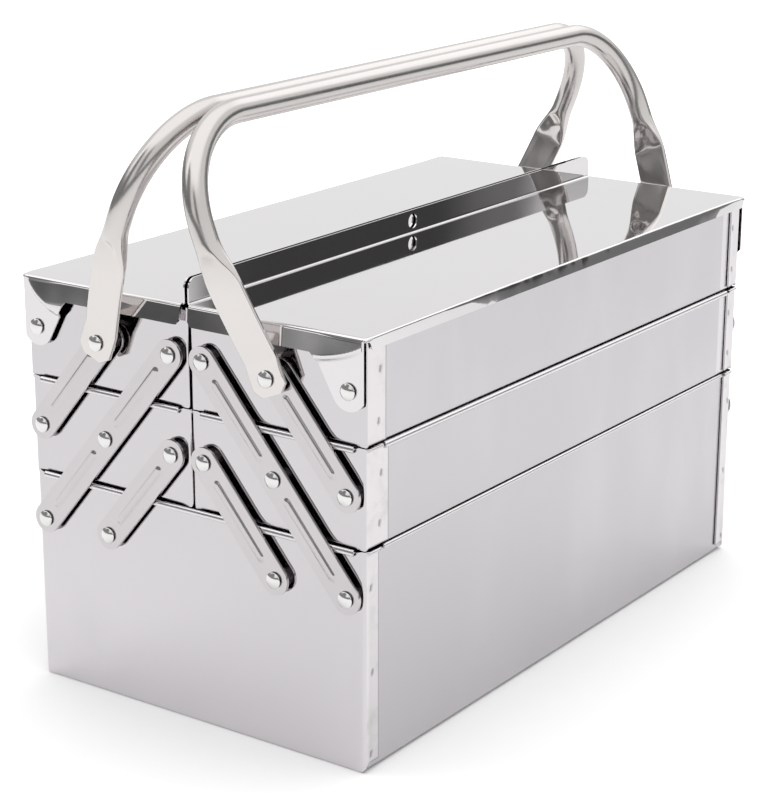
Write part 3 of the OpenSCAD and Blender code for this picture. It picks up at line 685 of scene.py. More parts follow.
def build_marks():
    """Presses capsule-shaped marks into a sheet along a guide's edges, and bores holes at given points."""
    tree, given, out = new_group("Pressed marks", "GeometryNodeTree", [
        ("Geometry", "Geometry", None), ("Guide", "Object", None), ("Width", "Float", 0.005),
        ("Height", "Float", 0.001), ("Holes", "Object", None), ("Hole radius", "Float", 0.003),
        ("Material", "Material", None)], [("Geometry", "Geometry")])
    lines = tree.node("GeometryNodeObjectInfo", Object=given["Guide"]).outputs["Geometry"]
    points = tree.node("GeometryNodeObjectInfo", Object=given["Holes"]).outputs["Geometry"]
    near = tree.node("GeometryNodeProximity", {"target_element": "EDGES"}, Geometry=lines).outputs["Distance"]
    share = tree.math("DIVIDE", near, tree.math("MULTIPLY", given["Width"], 0.5))
    raised = tree.math("SUBTRACT", 1.0, tree.math("MULTIPLY", share, share), clamp=True)
    normal = tree.node("GeometryNodeInputNormal").outputs["Normal"]
    lift = tree.scaled(normal, tree.math("MULTIPLY", raised, given["Height"]))
    moved = tree.node("GeometryNodeSetPosition", Geometry=given["Geometry"], Offset=lift).outputs["Geometry"]
    faces = tree.node("GeometryNodeInputMeshEdgeNeighbors").outputs["Face Count"]
    edge_shade_line = tree.node("GeometryNodeFieldOnDomain", {"data_type": "BOOLEAN", "domain": "EDGE"},
                       Value=tree.math("LESS_THAN", faces, 1.5)).outputs["Value"]
    # The sheet's border joins the marks, so a finish that darkens the marks also paints a shade line along
    # the sheet's free edges
    raised = tree.math("MAXIMUM", raised, edge_shade_line)
    moved = tree.node("GeometryNodeStoreNamedAttribute", {"data_type": "FLOAT", "domain": "POINT"},
                      Geometry=moved, Name="pressed", Value=raised).outputs["Geometry"]
    inside = tree.node("GeometryNodeProximity", {"target_element": "POINTS"},
                       Geometry=points).outputs["Distance"]
    bored = tree.node("GeometryNodeDeleteGeometry", {"domain": "FACE"}, Geometry=moved,
                      Selection=tree.math("LESS_THAN", inside, given["Hole radius"])).outputs["Geometry"]
    whole = tree.node("GeometryNodeRealizeInstances", Geometry=bored).outputs["Geometry"]
    dressed = tree.node("GeometryNodeSetMaterial", Geometry=whole, Material=given["Material"])
    tree.feed(out["Geometry"], dressed.outputs["Geometry"])
    return tree.tree


def pressed(name, sheet, lines, holes, width, height, hole_r, material, *after):
    """A sheet with marks along lines, holes at points, and then any other modifiers."""
    marks = bpy.data.node_groups.get("Pressed marks") or build_marks()
    ends = [point for line in lines for point in line]
    guide_data = bpy.data.meshes.new("guide")
    guide_data.from_pydata(ends, [(k, k + 1) for k in range(0, len(ends), 2)], [])
    hole_data = bpy.data.meshes.new("holes")
    hole_data.from_pydata(holes or [(0, 0, -1)], [], [])  # a point far below bores nothing
    guide, points = add_object("guide", guide_data), add_object("holes", hole_data)
    inputs = {"Guide": guide, "Width": width, "Height": height, "Holes": points, "Hole radius": hole_r,
              "Material": material}
    made = baked(name, sheet, (marks, inputs), *after)
    bpy.data.objects.remove(guide)
    bpy.data.objects.remove(points)
    return made


def arm_rows(arm_l, half):
    """Rows of a round-ended bar as distance along and half width."""
    turns = [math.radians(a) for a in (7, 16, 26, 37, 48, 59, 70, 80)]
    rounded = [(-half * math.cos(a), half * math.sin(a)) for a in turns]
    straight = [(u, half) for u in steps(0.0, arm_l, 0.0006)]
    return rounded + straight + [(arm_l - u, w) for u, w in reversed(rounded)]


class TOOLBOX_OT_arms(bpy.types.Operator):
    """Make the twelve linkage arms, each a pressed plate with a rib between its rivets"""

    bl_idname = "toolbox.arms"
    bl_label = "Arms"

    def execute(self, context):
        s = Sizes()
        reach = s.pivot_out - s.pivot_mid
        span = math.hypot(reach, s.pitch)
        lengthwise, across = Vector((0, -reach, s.pitch)) / span, Vector((0, s.pitch, reach)) / span
        face = s.half_l + s.link.arm_off + s.link.arm_t
        kinds = {"long": (s.pivot_out, s.base_pivot_z, 2), "low": (s.pivot_mid, s.base_pivot_z, 1),
                 "top": (s.pivot_out, s.mid_pivot_z, 1)}
        inset = s.link.rib_end + s.link.rib_w / 2
        for kind, (y, z, count) in kinds.items():
            foot = Vector((-face, y, z))
            rows = [[foot + lengthwise * u + across * (half * c) for c in steps(-1.0, 1.0, 1 / 20)]
                    for u, half in arm_rows(count * span, s.link.arm_w / 2)]
            ribs = [[foot + lengthwise * (k * span + inset), foot + lengthwise * ((k + 1) * span - inset)]
                    for k in range(count)]
            pivots = [foot + lengthwise * (k * span) for k in range(count + 1)]
            for end in ENDS:
                for side in SIDES:
                    name = f"arm_{kind}_{end}_{side}"
                    sheet = grid_mesh(name, [turned(row, end, side) for row in rows], end)
                    made = pressed(
                        name, sheet, [turned(rib, end, side) for rib in ribs], turned(pivots, end, side),
                        s.link.rib_w, s.link.rib_h, s.bore_r, arm_steel(),
                        thickened(s.link.arm_t), broken_edges(0.00025))
                    finish_piece("link_" + name, made, arm_steel(), BODY_OF[name], [name])
        return {"FINISHED"}


# ---- Rivets ----


def build_rivets():
    """Sets a rivet on every point. The point's reach is how far its head stands out from the panel."""
    tree, given, out = new_group("Rivets", "GeometryNodeTree", [
        ("Geometry", "Geometry", None), ("Head", "Object", None), ("Tail", "Object", None),
        ("Shank", "Float", 0.005), ("Tail depth", "Float", 0.0008), ("Material", "Material", None)],
        [("Geometry", "Geometry")])
    reach = tree.node("GeometryNodeInputNamedAttribute", {"data_type": "FLOAT"},
                      Name="reach").outputs["Attribute"]
    outward = tree.node("GeometryNodeInputNamedAttribute", {"data_type": "FLOAT_VECTOR"},
                        Name="outward").outputs["Attribute"]
    turn = tree.node("FunctionNodeAlignRotationToVector", {"axis": "Z"}, Vector=outward).outputs["Rotation"]

    def placed(geometry, distance, **more):
        moved = tree.node("GeometryNodeSetPosition", Geometry=given["Geometry"],
                          Offset=tree.scaled(outward, distance))
        return tree.node("GeometryNodeInstanceOnPoints", Points=moved.outputs["Geometry"], Instance=geometry,
                         Rotation=turn, **more).outputs["Instances"]

    head = tree.node("GeometryNodeObjectInfo", Object=given["Head"]).outputs["Geometry"]
    tail = tree.node("GeometryNodeObjectInfo", Object=given["Tail"]).outputs["Geometry"]
    pin = tree.node("GeometryNodeMeshCylinder", Vertices=24, Side_Segments=1, Fill_Segments=1,
                    Radius=tree.math("MULTIPLY", given["Shank"], 0.5), Depth=1.0).outputs["Mesh"]
    whole_l = tree.math("ADD", reach, given["Tail depth"])
    middle = tree.math("MULTIPLY", tree.math("SUBTRACT", reach, given["Tail depth"]), 0.5)
    size = tree.node("ShaderNodeCombineXYZ", X=1.0, Y=1.0, Z=whole_l).outputs["Vector"]
    join = tree.tree.nodes.new("GeometryNodeJoinGeometry")
    for part in (placed(head, reach), placed(tail, tree.math("MULTIPLY", given["Tail depth"], -1.0)),
                 placed(pin, middle, Scale=size)):
        tree.tree.links.new(part, join.inputs["Geometry"])
    whole = tree.node("GeometryNodeRealizeInstances", Geometry=join.outputs["Geometry"]).outputs["Geometry"]
    dressed = tree.node("GeometryNodeSetMaterial", Geometry=whole, Material=given["Material"])
    tree.feed(out["Geometry"], dressed.outputs["Geometry"])
    return tree.tree


def scaled_profile(half, height, *points):
    return [(half * r, height * z) for r, z in points]


def head_profile(half, height):
    """A domed head: undercut lip, round rim and flat dome, from the centre of its foot to its crown."""
    rim, dome_wide, rings = height * 0.5, 0.94, 9
    dome_r = (half ** 2 * dome_wide ** 2 + (height - rim) ** 2) / (2 * (height - rim))
    profile = scaled_profile(half, height, (0, 0), (0.66, 0), (0.7, 0.2), (0.88, 0.24), (0.97, 0.29),
                             (1, 0.37), (0.985, 0.45))
    for k in range(rings):
        r = half * dome_wide * (1 - k / rings)
        profile.append((r, height - dome_r + math.sqrt(dome_r ** 2 - r ** 2)))
    return profile + [(0, height)]


def tail_profile(half, depth):
    """A formed tail, from the centre of its foot down to its dished end."""
    return scaled_profile(half, -depth, (0, 0), (0.9, 0), (1, 0.3), (0.94, 0.75), (0.7, 1), (0.3, 0.93),
                          (0, 0.9))


class TOOLBOX_OT_rivets(bpy.types.Operator):
    """Make the rivets of the base, the trays and the lids, one piece for each body's set"""

    bl_idname = "toolbox.rivets"
    bl_label = "Rivets"

    def execute(self, context):
        s = Sizes()
        tree = build_rivets()
        head = self.pattern("head_pattern", head_profile(s.link.head_d / 2, s.link.head_h), 40)
        tail = self.pattern("tail_pattern", tail_profile(s.link.tail_d / 2, s.link.tail_h), 24)
        for node, rivets in self.rivet_sets(s).items():
            points = bpy.data.meshes.new(node)
            places = [(sign, rivet) for sign in ENDS.values() for rivet in rivets]
            points.from_pydata([(sign * s.half_l, y, z) for sign, (y, z, _) in places], [], [])
            reach = points.attributes.new("reach", "FLOAT", "POINT")
            outward = points.attributes.new("outward", "FLOAT_VECTOR", "POINT")
            for k, (sign, rivet) in enumerate(places):
                reach.data[k].value = rivet[2]
                outward.data[k].vector = (sign, 0, 0)
            made = baked(node, points, (tree, {"Head": head, "Tail": tail, "Shank": s.link.shank_d,
                                               "Tail depth": s.case.sheet, "Material": rivet_steel()}))
            finish_piece("set_" + node, made, rivet_steel(), BODY_OF[node], [node], 50)
        bpy.data.objects.remove(head)
        bpy.data.objects.remove(tail)
        return {"FINISHED"}

    def pattern(self, name, profile, count):
        """A head or tail about Z, to be set on every rivet of a set."""
        shape = bmesh.new()
        lathe(shape, profile, count)
        return add_object(name, mesh_of(name, shape))

    def rivet_sets(self, s):
        """The rivets of each set by its node: place across, height and how far the head stands out."""
        sets = {}
        for side, sign in SIDES.items():
            sets["mid_rivets_" + side] = [(sign * y, s.mid_pivot_z, s.arm_head_at)
                                          for y in (s.pivot_in, s.pivot_mid, s.pivot_out)]
            sets["top_rivets_" + side] = [(sign * s.pivot_in, s.top_pivot_z, s.arm_head_at),
                                          (sign * s.pivot_mid, s.top_pivot_z, s.blade_head_at)]
            sets["lid_rivets_" + side] = [(sign * s.lid_pivot_y, s.lid_pivot_z, s.ear_head_at)]
        sets["base_rivets"] = [(sign * y, s.base_pivot_z, s.arm_head_at) for sign in SIDES.values()
                               for y in (s.pivot_mid, s.pivot_out)]
        return sets


# ---- Handles ----


def handle_ring(s, centre, outward, opened, half_w, count):
    """Ring of the handle tube. Opened is 0 for the flat blade and 1 for the round tube."""
    h = s.handle
    tube = h.tube_d - 0.00002  # keeps it just inside the frame's own tube, which has flats
    width = blend(half_w, tube / 2, opened)
    thick = blend(h.blade_t, tube, opened) / 2
    pinch = h.pinch * math.sin(math.pi * min(1.0, opened * 1.15)) if opened < 0.87 else 0.0
    hollow = 0.10 * (1 - ease(opened, 0.0, 0.3))
    flat = max(0.0, width - thick)
    ring = []
    for k in range(count):
        a = math.tau * (k + 0.5) / count
        across, out = math.sin(a), math.cos(a)
        y = (flat if across > 0 else -flat) * min(1.0, abs(across) * 3) + thick * across
        share = 1 - min(1.0, abs(y) / (width * 0.75)) ** 2
        x = thick * (1 if out > 0 else -1) * abs(out) ** blend(0.45, 1.0, opened)
        x *= 1 - (pinch + hollow) * share
        ring.append(centre + outward * x + Vector((0, y, 0)))
    return ring


def handle_path(s):
    """Stations from the blade's tip to the middle of the grip: place, outward direction, opening and the half
    width of the blade."""
    h = s.handle
    blade_x, shoulder_x = s.half_l + s.blade_at + h.blade_t / 2, s.half_l + h.shoulder
    open_end = h.open_start + h.open_l
    bend_x, bend_z = shoulder_x - h.bend_r, h.height - h.bend_r
    clip_end = h.blade_clip - h.blade_tip
    probe = 0.0005

    def lean(z):
        share = min(1.0, max(0.0, (z - h.blade_flat) / (open_end - h.blade_flat)))
        return blend(blade_x, shoulder_x, 1 - (1 - share) ** 1.4)

    stations = []
    heights = steps(-h.blade_tip, clip_end, 0.001) + steps(clip_end, h.blade_flat, 0.004)[1:]
    heights += steps(h.blade_flat, open_end, 0.0012)[1:] + steps(open_end, bend_z, 0.003)[1:]
    for z in heights:
        slope = (lean(z + probe) - lean(z - probe)) / (2 * probe)
        out = Vector((1, 0, -slope)).normalized()
        opened = ease(z, h.open_start - 0.004, open_end)
        clip = max(0.0, clip_end - z)
        stations.append((Vector((lean(z), 0, z)), out, opened, h.blade_w / 2 - clip))
    bend_steps = 30
    for k in range(1, bend_steps + 1):
        a = math.radians(90 / bend_steps * k)
        out = Vector((math.cos(a), 0, math.sin(a)))
        stations.append((Vector((bend_x, 0, bend_z)) + out * h.bend_r, out, 1.0, h.blade_w / 2))
    for x in steps(bend_x, 0.0, 0.012)[1:]:
        stations.append((Vector((x, 0, h.height)), Vector((0, 0, 1)), 1.0, h.blade_w / 2))
    return stations


class TOOLBOX_OT_handles(bpy.types.Operator):
    """Make the two carrying handles: a bent tube flattened at its ends, from pivot to pivot in one skin"""

    bl_idname = "toolbox.handles"
    bl_label = "Handles"

    def execute(self, context):
        s = Sizes()
        h = s.handle
        tilt = math.asin((s.pivot_mid - (h.tube_d + h.grip_gap) / 2) / h.height)
        near = handle_path(s)
        mirrored = Vector((-1, 1, 1))
        far = [(centre * mirrored, out * mirrored, *more) for centre, out, *more in near[-2::-1]]
        tilted = Matrix.Translation((0, s.pivot_mid, s.top_pivot_z)) @ Matrix.Rotation(tilt, 4, "X")
        for side, sign in SIDES.items():
            place = Matrix.Diagonal((1, sign, 1, 1)) @ tilted
            rings = [[place @ p for p in handle_ring(s, *station, 48)] for station in near + far]
            shape = bmesh.new()
            loft(shape, rings)
            node = "handle_" + side
            made = baked(node, mesh_of(node, shape), broken_edges(0.0003))
            finish_piece("tube_" + node, made, warm_steel(), BODY_OF[node], [node], 40)
        return {"FINISHED"}


# ---- Trays ----


def curl(shape, across, height, radius, thick, out, run, tall=1.0):
    """Rolled edge: the sheet comes up at -out, rolls over the top and ends below, open like a C. Across and
    height place its middle, and run gives its two ends. A tall roll slopes down and tucks in short."""
    start, end, count = 180, -108, 26
    ring = arc((0, 0), radius, start, end, count) + arc((0, 0), radius - thick, end, start, count)
    ring = [(a, b * (tall if b > 0 else 1.5 - tall / 2)) for a, b in ring]
    drop = radius * (tall - 1)
    loft(shape, [[place(across + out * a, height + b - drop) for a, b in ring] for place in run])


# Middle across, foot, width, height, side, width and stand-off of the front side flanges, diameter of the
# side edges, and radii of the floor bend, lower corners, upright corners, panel toe and floor tabs
Tray = namedtuple("Tray", "y z w h side flange stand rod bend foot fold toe tab")


def trays(s):
    """Every tray by the name of its shell. Those of one side are drawn for the left."""
    case = s.case
    base = Tray(y=0.0, z=0.0, w=case.case_w, h=case.base_h, side=None, flange=case.base_flange_w, stand=0.0,
                rod=case.base_rod, bend=case.base_bend_r, foot=case.base_foot_r, fold=case.base_fold_r,
                toe=case.toe_r * 0.7, tab=case.fold_r)
    made = {"base_shell": base}
    for side in SIDES:
        mid = Tray(y=s.mid_y, z=s.mid_z, w=s.mid_w, h=case.tray_h, side=side, flange=case.mid_flange_w,
                   stand=0.0, rod=case.mid_rod, bend=case.tray_bend_r, foot=case.tray_foot_r,
                   fold=case.fold_r, toe=case.toe_r, tab=case.tab_r)
        top = mid._replace(y=s.top_y, z=s.top_z, w=s.top_w, flange=case.top_flange_w, stand=case.top_stand,
                           rod=case.top_rod, fold=case.fold_r * 0.6)
        made.update({"mid_tray_" + side: mid, "top_tray_" + side: top})
    return made


def flange_width(s, tray, end):
    """Width of the side flanges of a tray's end panel."""
    return tray.flange if end == "front" else s.case.flange_w


def flange_stand(tray, end):
    """How far a side flange stands off the long side. At the back it is nearly tight."""
    return tray.stand * (1.0 if end == "front" else 0.1)


def panel_rows(s, tray, end):
    """Rows of points over the outer face of an end panel and its side flanges, drawn for the front end."""
    case = s.case
    edge, top, r = tray.w / 2 + case.sheet, tray.h - case.hem_d / 2, tray.fold
    lift = case.flange_lift * (1.0 if end == "back" else 0.45)
    stand, stand_fade = flange_stand(tray, end), 0.01
    bead = 0.0 if tray.stand else case.strip_bead
    reach = s.half_l - flange_width(s, tray, end)
    toe_arc = 1.35 * tray.toe
    half = [(-x, edge) for x in steps(reach, s.half_l - r, 0.0008)]
    half += arc((r - s.half_l, edge - r), r, 90, 180, 7)[1:]
    flat = [(-s.half_l, c) for c in steps(edge - r, r - edge, 0.0024)[1:-1]]
    path = half + flat + [(px, -py) for px, py in reversed(half)]
    rows = []
    bead_foot = 1.0 - 0.0022 / top  # the rows stand closer together from here up
    for share in steps(0.0, bead_foot, 0.0008 / top) + steps(bead_foot, 1.0, 0.0002 / top)[1:]:
        row = []
        for px, py in path:
            inset = edge - abs(py)
            low = tray.foot - math.sqrt(max(0.0, tray.foot ** 2 - max(0.0, tray.foot - inset) ** 2))
            past_side_edge = ease(-px, case.hem_reach, case.hem_reach + 0.001)
            past_end_edge = ease(inset, case.end_hem_stop - 0.0002, case.end_hem_stop - 0.0014)
            free = past_side_edge * past_end_edge
            high = top + free * (case.hem_d / 2 - case.seat_gap)
            pz = blend(low, high, share)
            bend = max(0.0, tray.toe - pz) * ease(inset, 0.0005, 0.006)
            depth = toe_arc - math.sqrt(toe_arc ** 2 - bend ** 2)
            depth += max(0.0, 0.005 - pz) ** 2 / 0.1 * ease(inset, 0.0, 0.02)  # the foot draws in
            flap = lift * ease(-px, reach + 0.004, reach)
            flap += stand * max(0.0, abs(py) - edge + stand_fade) / stand_fade
            if bead:
                below = min(1.0, max(-1.0, (high - pz) / bead - 1.0))
                flap += 1.3 * bead * math.sqrt(1.0 - below ** 2) * ease(inset, 0.0006, 0.0) * free
            row.append((px + depth, tray.y + py + math.copysign(flap, py), tray.z + pz))
        rows.append(row)
    return rows


class TOOLBOX_OT_ends(bpy.types.Operator):
    """Make the end panels, with spot-welded side flanges and a rolled top edge"""

    bl_idname = "toolbox.ends"
    bl_label = "End panels"

    def execute(self, context):
        s = Sizes()
        for shell, tray in trays(s).items():
            for end in ENDS:
                self.make_panel(s, shell, tray, end)
        return {"FINISHED"}

    def make_panel(self, s, shell, tray, end):
        case, side = s.case, tray.side or "left"
        node = shell.replace("_tray", f"_end_{end}") if tray.side else f"base_end_{end}"
        sheet = grid_mesh(node, [turned(row, end, side) for row in panel_rows(s, tray, end)], end)
        marks = [turned(mark, end, side) for mark in self.weld_marks(s, tray, end)]
        panel = pressed(node, sheet, marks, [], case.weld_d, -case.weld_depth, 0.001, bright_steel(),
                        thickened(case.sheet, use_even_offset=True))
        stop, edge_r = tray.w / 2 - case.end_hem_stop, case.hem_d / 2
        run = [lambda a, b, c=c: turned([(-a, tray.y + c, b)], end, side)[0] for c in (-stop, stop)]
        shape = bmesh.new()
        curl(shape, s.half_l - case.sheet + edge_r, tray.z + tray.h - edge_r, edge_r, case.sheet, 1, run,
             case.hem_tall)
        made = joined(node, marked(panel, 1, lambda normal: abs(normal.y) > 0.8),
                      marked(mesh_of("curl", shape), 2))
        finish_piece("panel_" + node, made, bright_steel(), BODY_OF[node], [node],
                     others=(flange_steel(), edge_steel()))

    def weld_marks(self, s, tray, end):
        """Short lines, slightly off upright and staggered, where the side flanges are spot-welded."""
        heights, inset = ((0.21, 0.7), 0.0036 + 0.0068) if tray.side else ((0.09, 0.46, 0.84), 0.0036)
        inset = min(flange_width(s, tray, end) * 0.6, inset)
        stagger, uneven, half_mark, slant = 0.0012, 0.0006, 0.0009, 0.0004
        out = tray.w / 2 + s.case.sheet + flange_stand(tray, end)
        marks = []
        for k, share in enumerate(heights):
            for sign in (-1, 1):
                px, py = inset + stagger * (k % 2) - s.half_l, tray.y + sign * out
                pz = tray.z + tray.h * share + uneven * sign
                marks.append([(px, py, pz - half_mark), (px + slant, py, pz + half_mark)])
        return marks


class TOOLBOX_OT_shells(bpy.types.Operator):
    """Make the tray shells: floor and long sides bent from one sheet, with rolled edges and floor tabs"""

    bl_idname = "toolbox.shells"
    bl_label = "Tray shells"

    def execute(self, context):
        s = Sizes()
        for node, tray in trays(s).items():
            pan = baked(node, self.pan_sheet(s, node, tray), thickened(s.case.sheet))
            made = joined(node, marked(pan, 0), marked(self.side_edges(s, tray), 1))
            finish_piece("pan_" + node, made, satin_steel(), BODY_OF[node], [node],
                         others=(edge_steel(),))
        return {"FINISHED"}

    def pan_sheet(self, s, node, tray):
        """The outer face of the floor, the long sides and the floor's tabs."""
        case, side = s.case, tray.side or "left"
        top, r, half, tab_r = tray.h - tray.rod / 2, tray.bend, tray.w / 2, tray.tab
        reach = s.half_l - case.sheet - tab_r
        wall = [(half, c) for c in steps(top, r, 0.012)] + arc((half - r, r), r, 0, -90, 8)[1:]
        floor = [(c, 0.0) for c in steps(half - r, r - half, 0.02)[1:-1]]
        path = wall + floor + [(-py, pz) for py, pz in reversed(wall)]
        shape = bmesh.new()
        open_loft(shape, [turned([(x, tray.y + py, tray.z + pz) for py, pz in path], "front", side)
                          for x in steps(-reach, reach, 0.012)])
        fold = [(reach, 0.0)] + arc((reach, tab_r), tab_r, -90, 0, 6)[1:]
        fold.append((s.half_l - case.sheet, case.tab_h))
        for end in ENDS:
            open_loft(shape, [turned([(-px, tray.y + py, tray.z + pz) for px, pz in fold], end, side)
                              for py in steps(r - half, half - r, 0.03)])
        bmesh.ops.remove_doubles(shape, verts=shape.verts, dist=0.000001)
        bmesh.ops.recalc_face_normals(shape, faces=shape.faces)
        sheet = mesh_of(node, shape, closed=False)
        lowest = min(sheet.polygons, key=lambda face: face.center.z + abs(face.center.x))
        if lowest.normal.z > 0:
            sheet.flip_normals()
        return sheet

    def side_edges(self, s, tray):
        """The rolled top edges of the long sides. Those of an upper tray both roll the same way."""
        case, rod, half = s.case, tray.rod / 2, tray.w / 2
        run = [lambda a, b, x=x: turned([(x, a, b)], "front", tray.side or "left")[0]
               for x in (-case.hem_reach, case.hem_reach)]
        outer = (tray.y + half - case.sheet + rod, 1)
        other = (tray.y - half + rod, 1) if tray.side else (case.sheet - half - rod, -1)
        shape = bmesh.new()
        for across, out in (outer, other):
            curl(shape, across, tray.z + tray.h - rod, rod, case.sheet * 0.9, out, run)
        return mesh_of("curl", shape)


# ---- Lids ----


def soft_min(first, second, soft):
    """The lesser of two numbers, rounded over where they cross."""
    share = min(1.0, max(0.0, 0.5 + (second - first) / (2 * soft)))
    return blend(second, first, share) - soft * share * (1 - share)


class LidShape:
    """The outer face of a lid, drawn for its front end. X is negative there, and Y grows to the long side."""

    def __init__(self, s, side):
        lid, case = s.lid, s.case
        self.s, self.lid, self.r = s, lid, case.fold_r
        self.x, self.y = s.half_l + lid.over, s.half_w + lid.over
        self.fine_x = self.x - 0.014  # the columns stand close together from here to the end
        edge_r = case.hem_d / 2
        edge_from_pivot = math.hypot(s.half_w - case.sheet + edge_r - s.lid_pivot_y,
                                     s.case_h - edge_r - s.lid_pivot_z)
        self.z = s.lid_pivot_z + edge_from_pivot + edge_r + lid.clear + lid.sheet
        self.fold_z = self.z - self.r
        self.start = lid.upstand_gap / 2 + lid.sheet
        self.flange_z = self.z - lid.end_flange_h
        self.ear_y = s.lid_pivot_y + lid.ear_r - lid.ear_w
        self.crease_deep, self.crease_wide = lid.left_crease if side == "left" else lid.right_crease

    def low(self, y):
        """Height of the skirt's lower edge: flange, slanted edge of the ear, and the ear's round end."""
        lid, py, pz, r = self.lid, self.s.lid_pivot_y, self.s.lid_pivot_z, self.lid.ear_r
        begin = (self.ear_y, self.flange_z - lid.ear_drop)
        touch = math.atan2(begin[1] - pz, begin[0] - py) + math.acos(r / math.dist(begin, (py, pz)))
        tangent = (py + r * math.cos(touch), pz + r * math.sin(touch))
        slope = (begin[0] - tangent[0]) / (begin[1] - tangent[1])
        corner = begin[0] + slope * (self.flange_z - begin[1])
        if y > tangent[0]:
            return pz - math.sqrt(max(0.0, r * r - (y - py) ** 2))
        z = soft_min(self.flange_z, self.flange_z + (y - corner) / slope, lid.ear_fillet * 0.6)
        inset = max(0.0, lid.flange_r - (y - self.start - lid.sheet))
        return z + lid.flange_r - math.sqrt(lid.flange_r ** 2 - min(inset, lid.flange_r) ** 2)

    def flared(self, y, z):
        """How far the skirt stands out from upright: the flare, closed back to the ear along the crease."""
        lid = self.lid
        flare = soft_min(math.tan(lid.flare) * (self.fold_z - z), lid.flare_most, 0.0002)
        if y <= lid.crease_y:
            return flare
        away = math.hypot((y - lid.crease_y) * self.crease_deep / self.crease_wide, z - self.z)
        room = (self.crease_deep - away) / lid.crease_slope
        return max(0.0, soft_min(flare, room, 0.0005))

    def skirt(self, y):
        """One column of the front skirt, from the flat of the lid down to its edge."""
        turn = 0.0 if self.flared(y, self.fold_z - 0.002) < 0.0002 else self.lid.flare
        column = [(self.lid.corner_r - self.x, y, self.z)]
        for a in steps(math.pi / 2, turn, (math.pi / 2 - turn) / 7):
            column.append((self.r * (1 - math.cos(a)) - self.x, y, self.fold_z + self.r * math.sin(a)))
        low = self.low(y)
        first = column[-1]
        for share in steps(0.0, 1.0, 1 / 46)[1:]:
            z = blend(first[2], low, share)
            column.append((first[0] - self.flared(y, z), y, z))
        return column

    def corner(self, turn):
        """One column round the rolled outer corner."""
        lid, r = self.lid, self.r
        path = [(0.0, self.z)]
        path += [(lid.corner_r - r + r * math.cos(a), self.fold_z + r * math.sin(a))
                 for a in steps(math.pi / 2, 0.0, math.pi / 14)]
        path.append((lid.corner_r, self.z - lid.corner_h))
        middle_x, middle_y = lid.corner_r - self.x, self.y - lid.corner_r
        out_x, out_y = math.cos(turn), math.sin(turn)
        return [(middle_x + reach * out_x, middle_y + reach * out_y, z) for reach, z in path]

    def long_side(self, x):
        """One column of the long side's flange. It splays out along most of the side, a little unevenly."""
        lid = self.lid
        end = self.x - lid.corner_r - abs(x)
        r = blend(self.r, lid.side_fold_r, ease(end, 0.0, 0.004))
        depth = blend(lid.corner_h, lid.side_flange_h, ease(end, -0.0001, 0.0025)) - r
        fade = 0.18
        splay = lid.splay * ease(x, lid.splay_from - fade, lid.splay_from)
        splay *= ease(-x, -lid.splay_to - fade, -lid.splay_to)
        uneven = 1 + 0.05 * math.sin(x * 570) + 0.04 * math.sin(x * 270 + 1)
        splay *= ease(end, 0.0, 0.02) * uneven
        slant = (r * math.sin(splay) + depth) / math.cos(splay)
        centre = self.y - slant * math.sin(splay) - r * math.cos(splay)
        column = [(x, self.y - lid.corner_r, self.z)]
        for a in steps(math.pi / 2, splay, (math.pi / 2 - splay) / 7):
            column.append((x, centre + r * math.cos(a), self.z - r + r * math.sin(a)))
        first = column[-1]
        for share in steps(0.0, 1.0, 1 / 6)[1:]:
            y = blend(first[1], self.y, share ** 0.94)  # a little hollow
            column.append((x, y, blend(first[2], self.z - r - depth, share)))
        return column

    def upright(self, x):
        """One column of the middle fold and the upstand, from the flat of the lid up."""
        lid, end, fold, near = self.lid, self.x - self.r, self.r - self.lid.sheet, self.fine_x
        top = self.z + lid.upstand_h
        column = []
        path = [(self.start + fold, self.z)]
        path += arc((self.start + fold, self.z + fold), fold, 270, 180, 5)[1:]
        path += [(self.start, z) for z in self.rises()]
        for k, (y, z) in enumerate(path):
            cut = max(0.0, z - top + lid.upstand_r)
            reach = end - lid.upstand_r + math.sqrt(lid.upstand_r ** 2 - min(cut, lid.upstand_r) ** 2)
            reach = self.x - lid.corner_r if k == 0 else reach
            px = abs(x)
            if px > near:
                px = near + (px - near) * (reach - near) / (self.x - lid.corner_r - near)
            column.append((math.copysign(px, x), y, z))
        return column

    def rises(self):
        """Heights of the upstand's rows, about the lock hole and then up the rounded corners."""
        lid, top = self.lid, self.z + self.lid.upstand_h
        low, high = top - lid.lock_drop - lid.lock_d * 0.58, top - lid.lock_drop + lid.lock_d * 0.62
        bend = [top - lid.upstand_r * (1 - math.sin(a)) for a in steps(0.25, math.pi / 2, 0.22)]
        return sorted([z for z in steps(low, high, 0.0014)] + [z for z in bend if z > high + 0.0002])


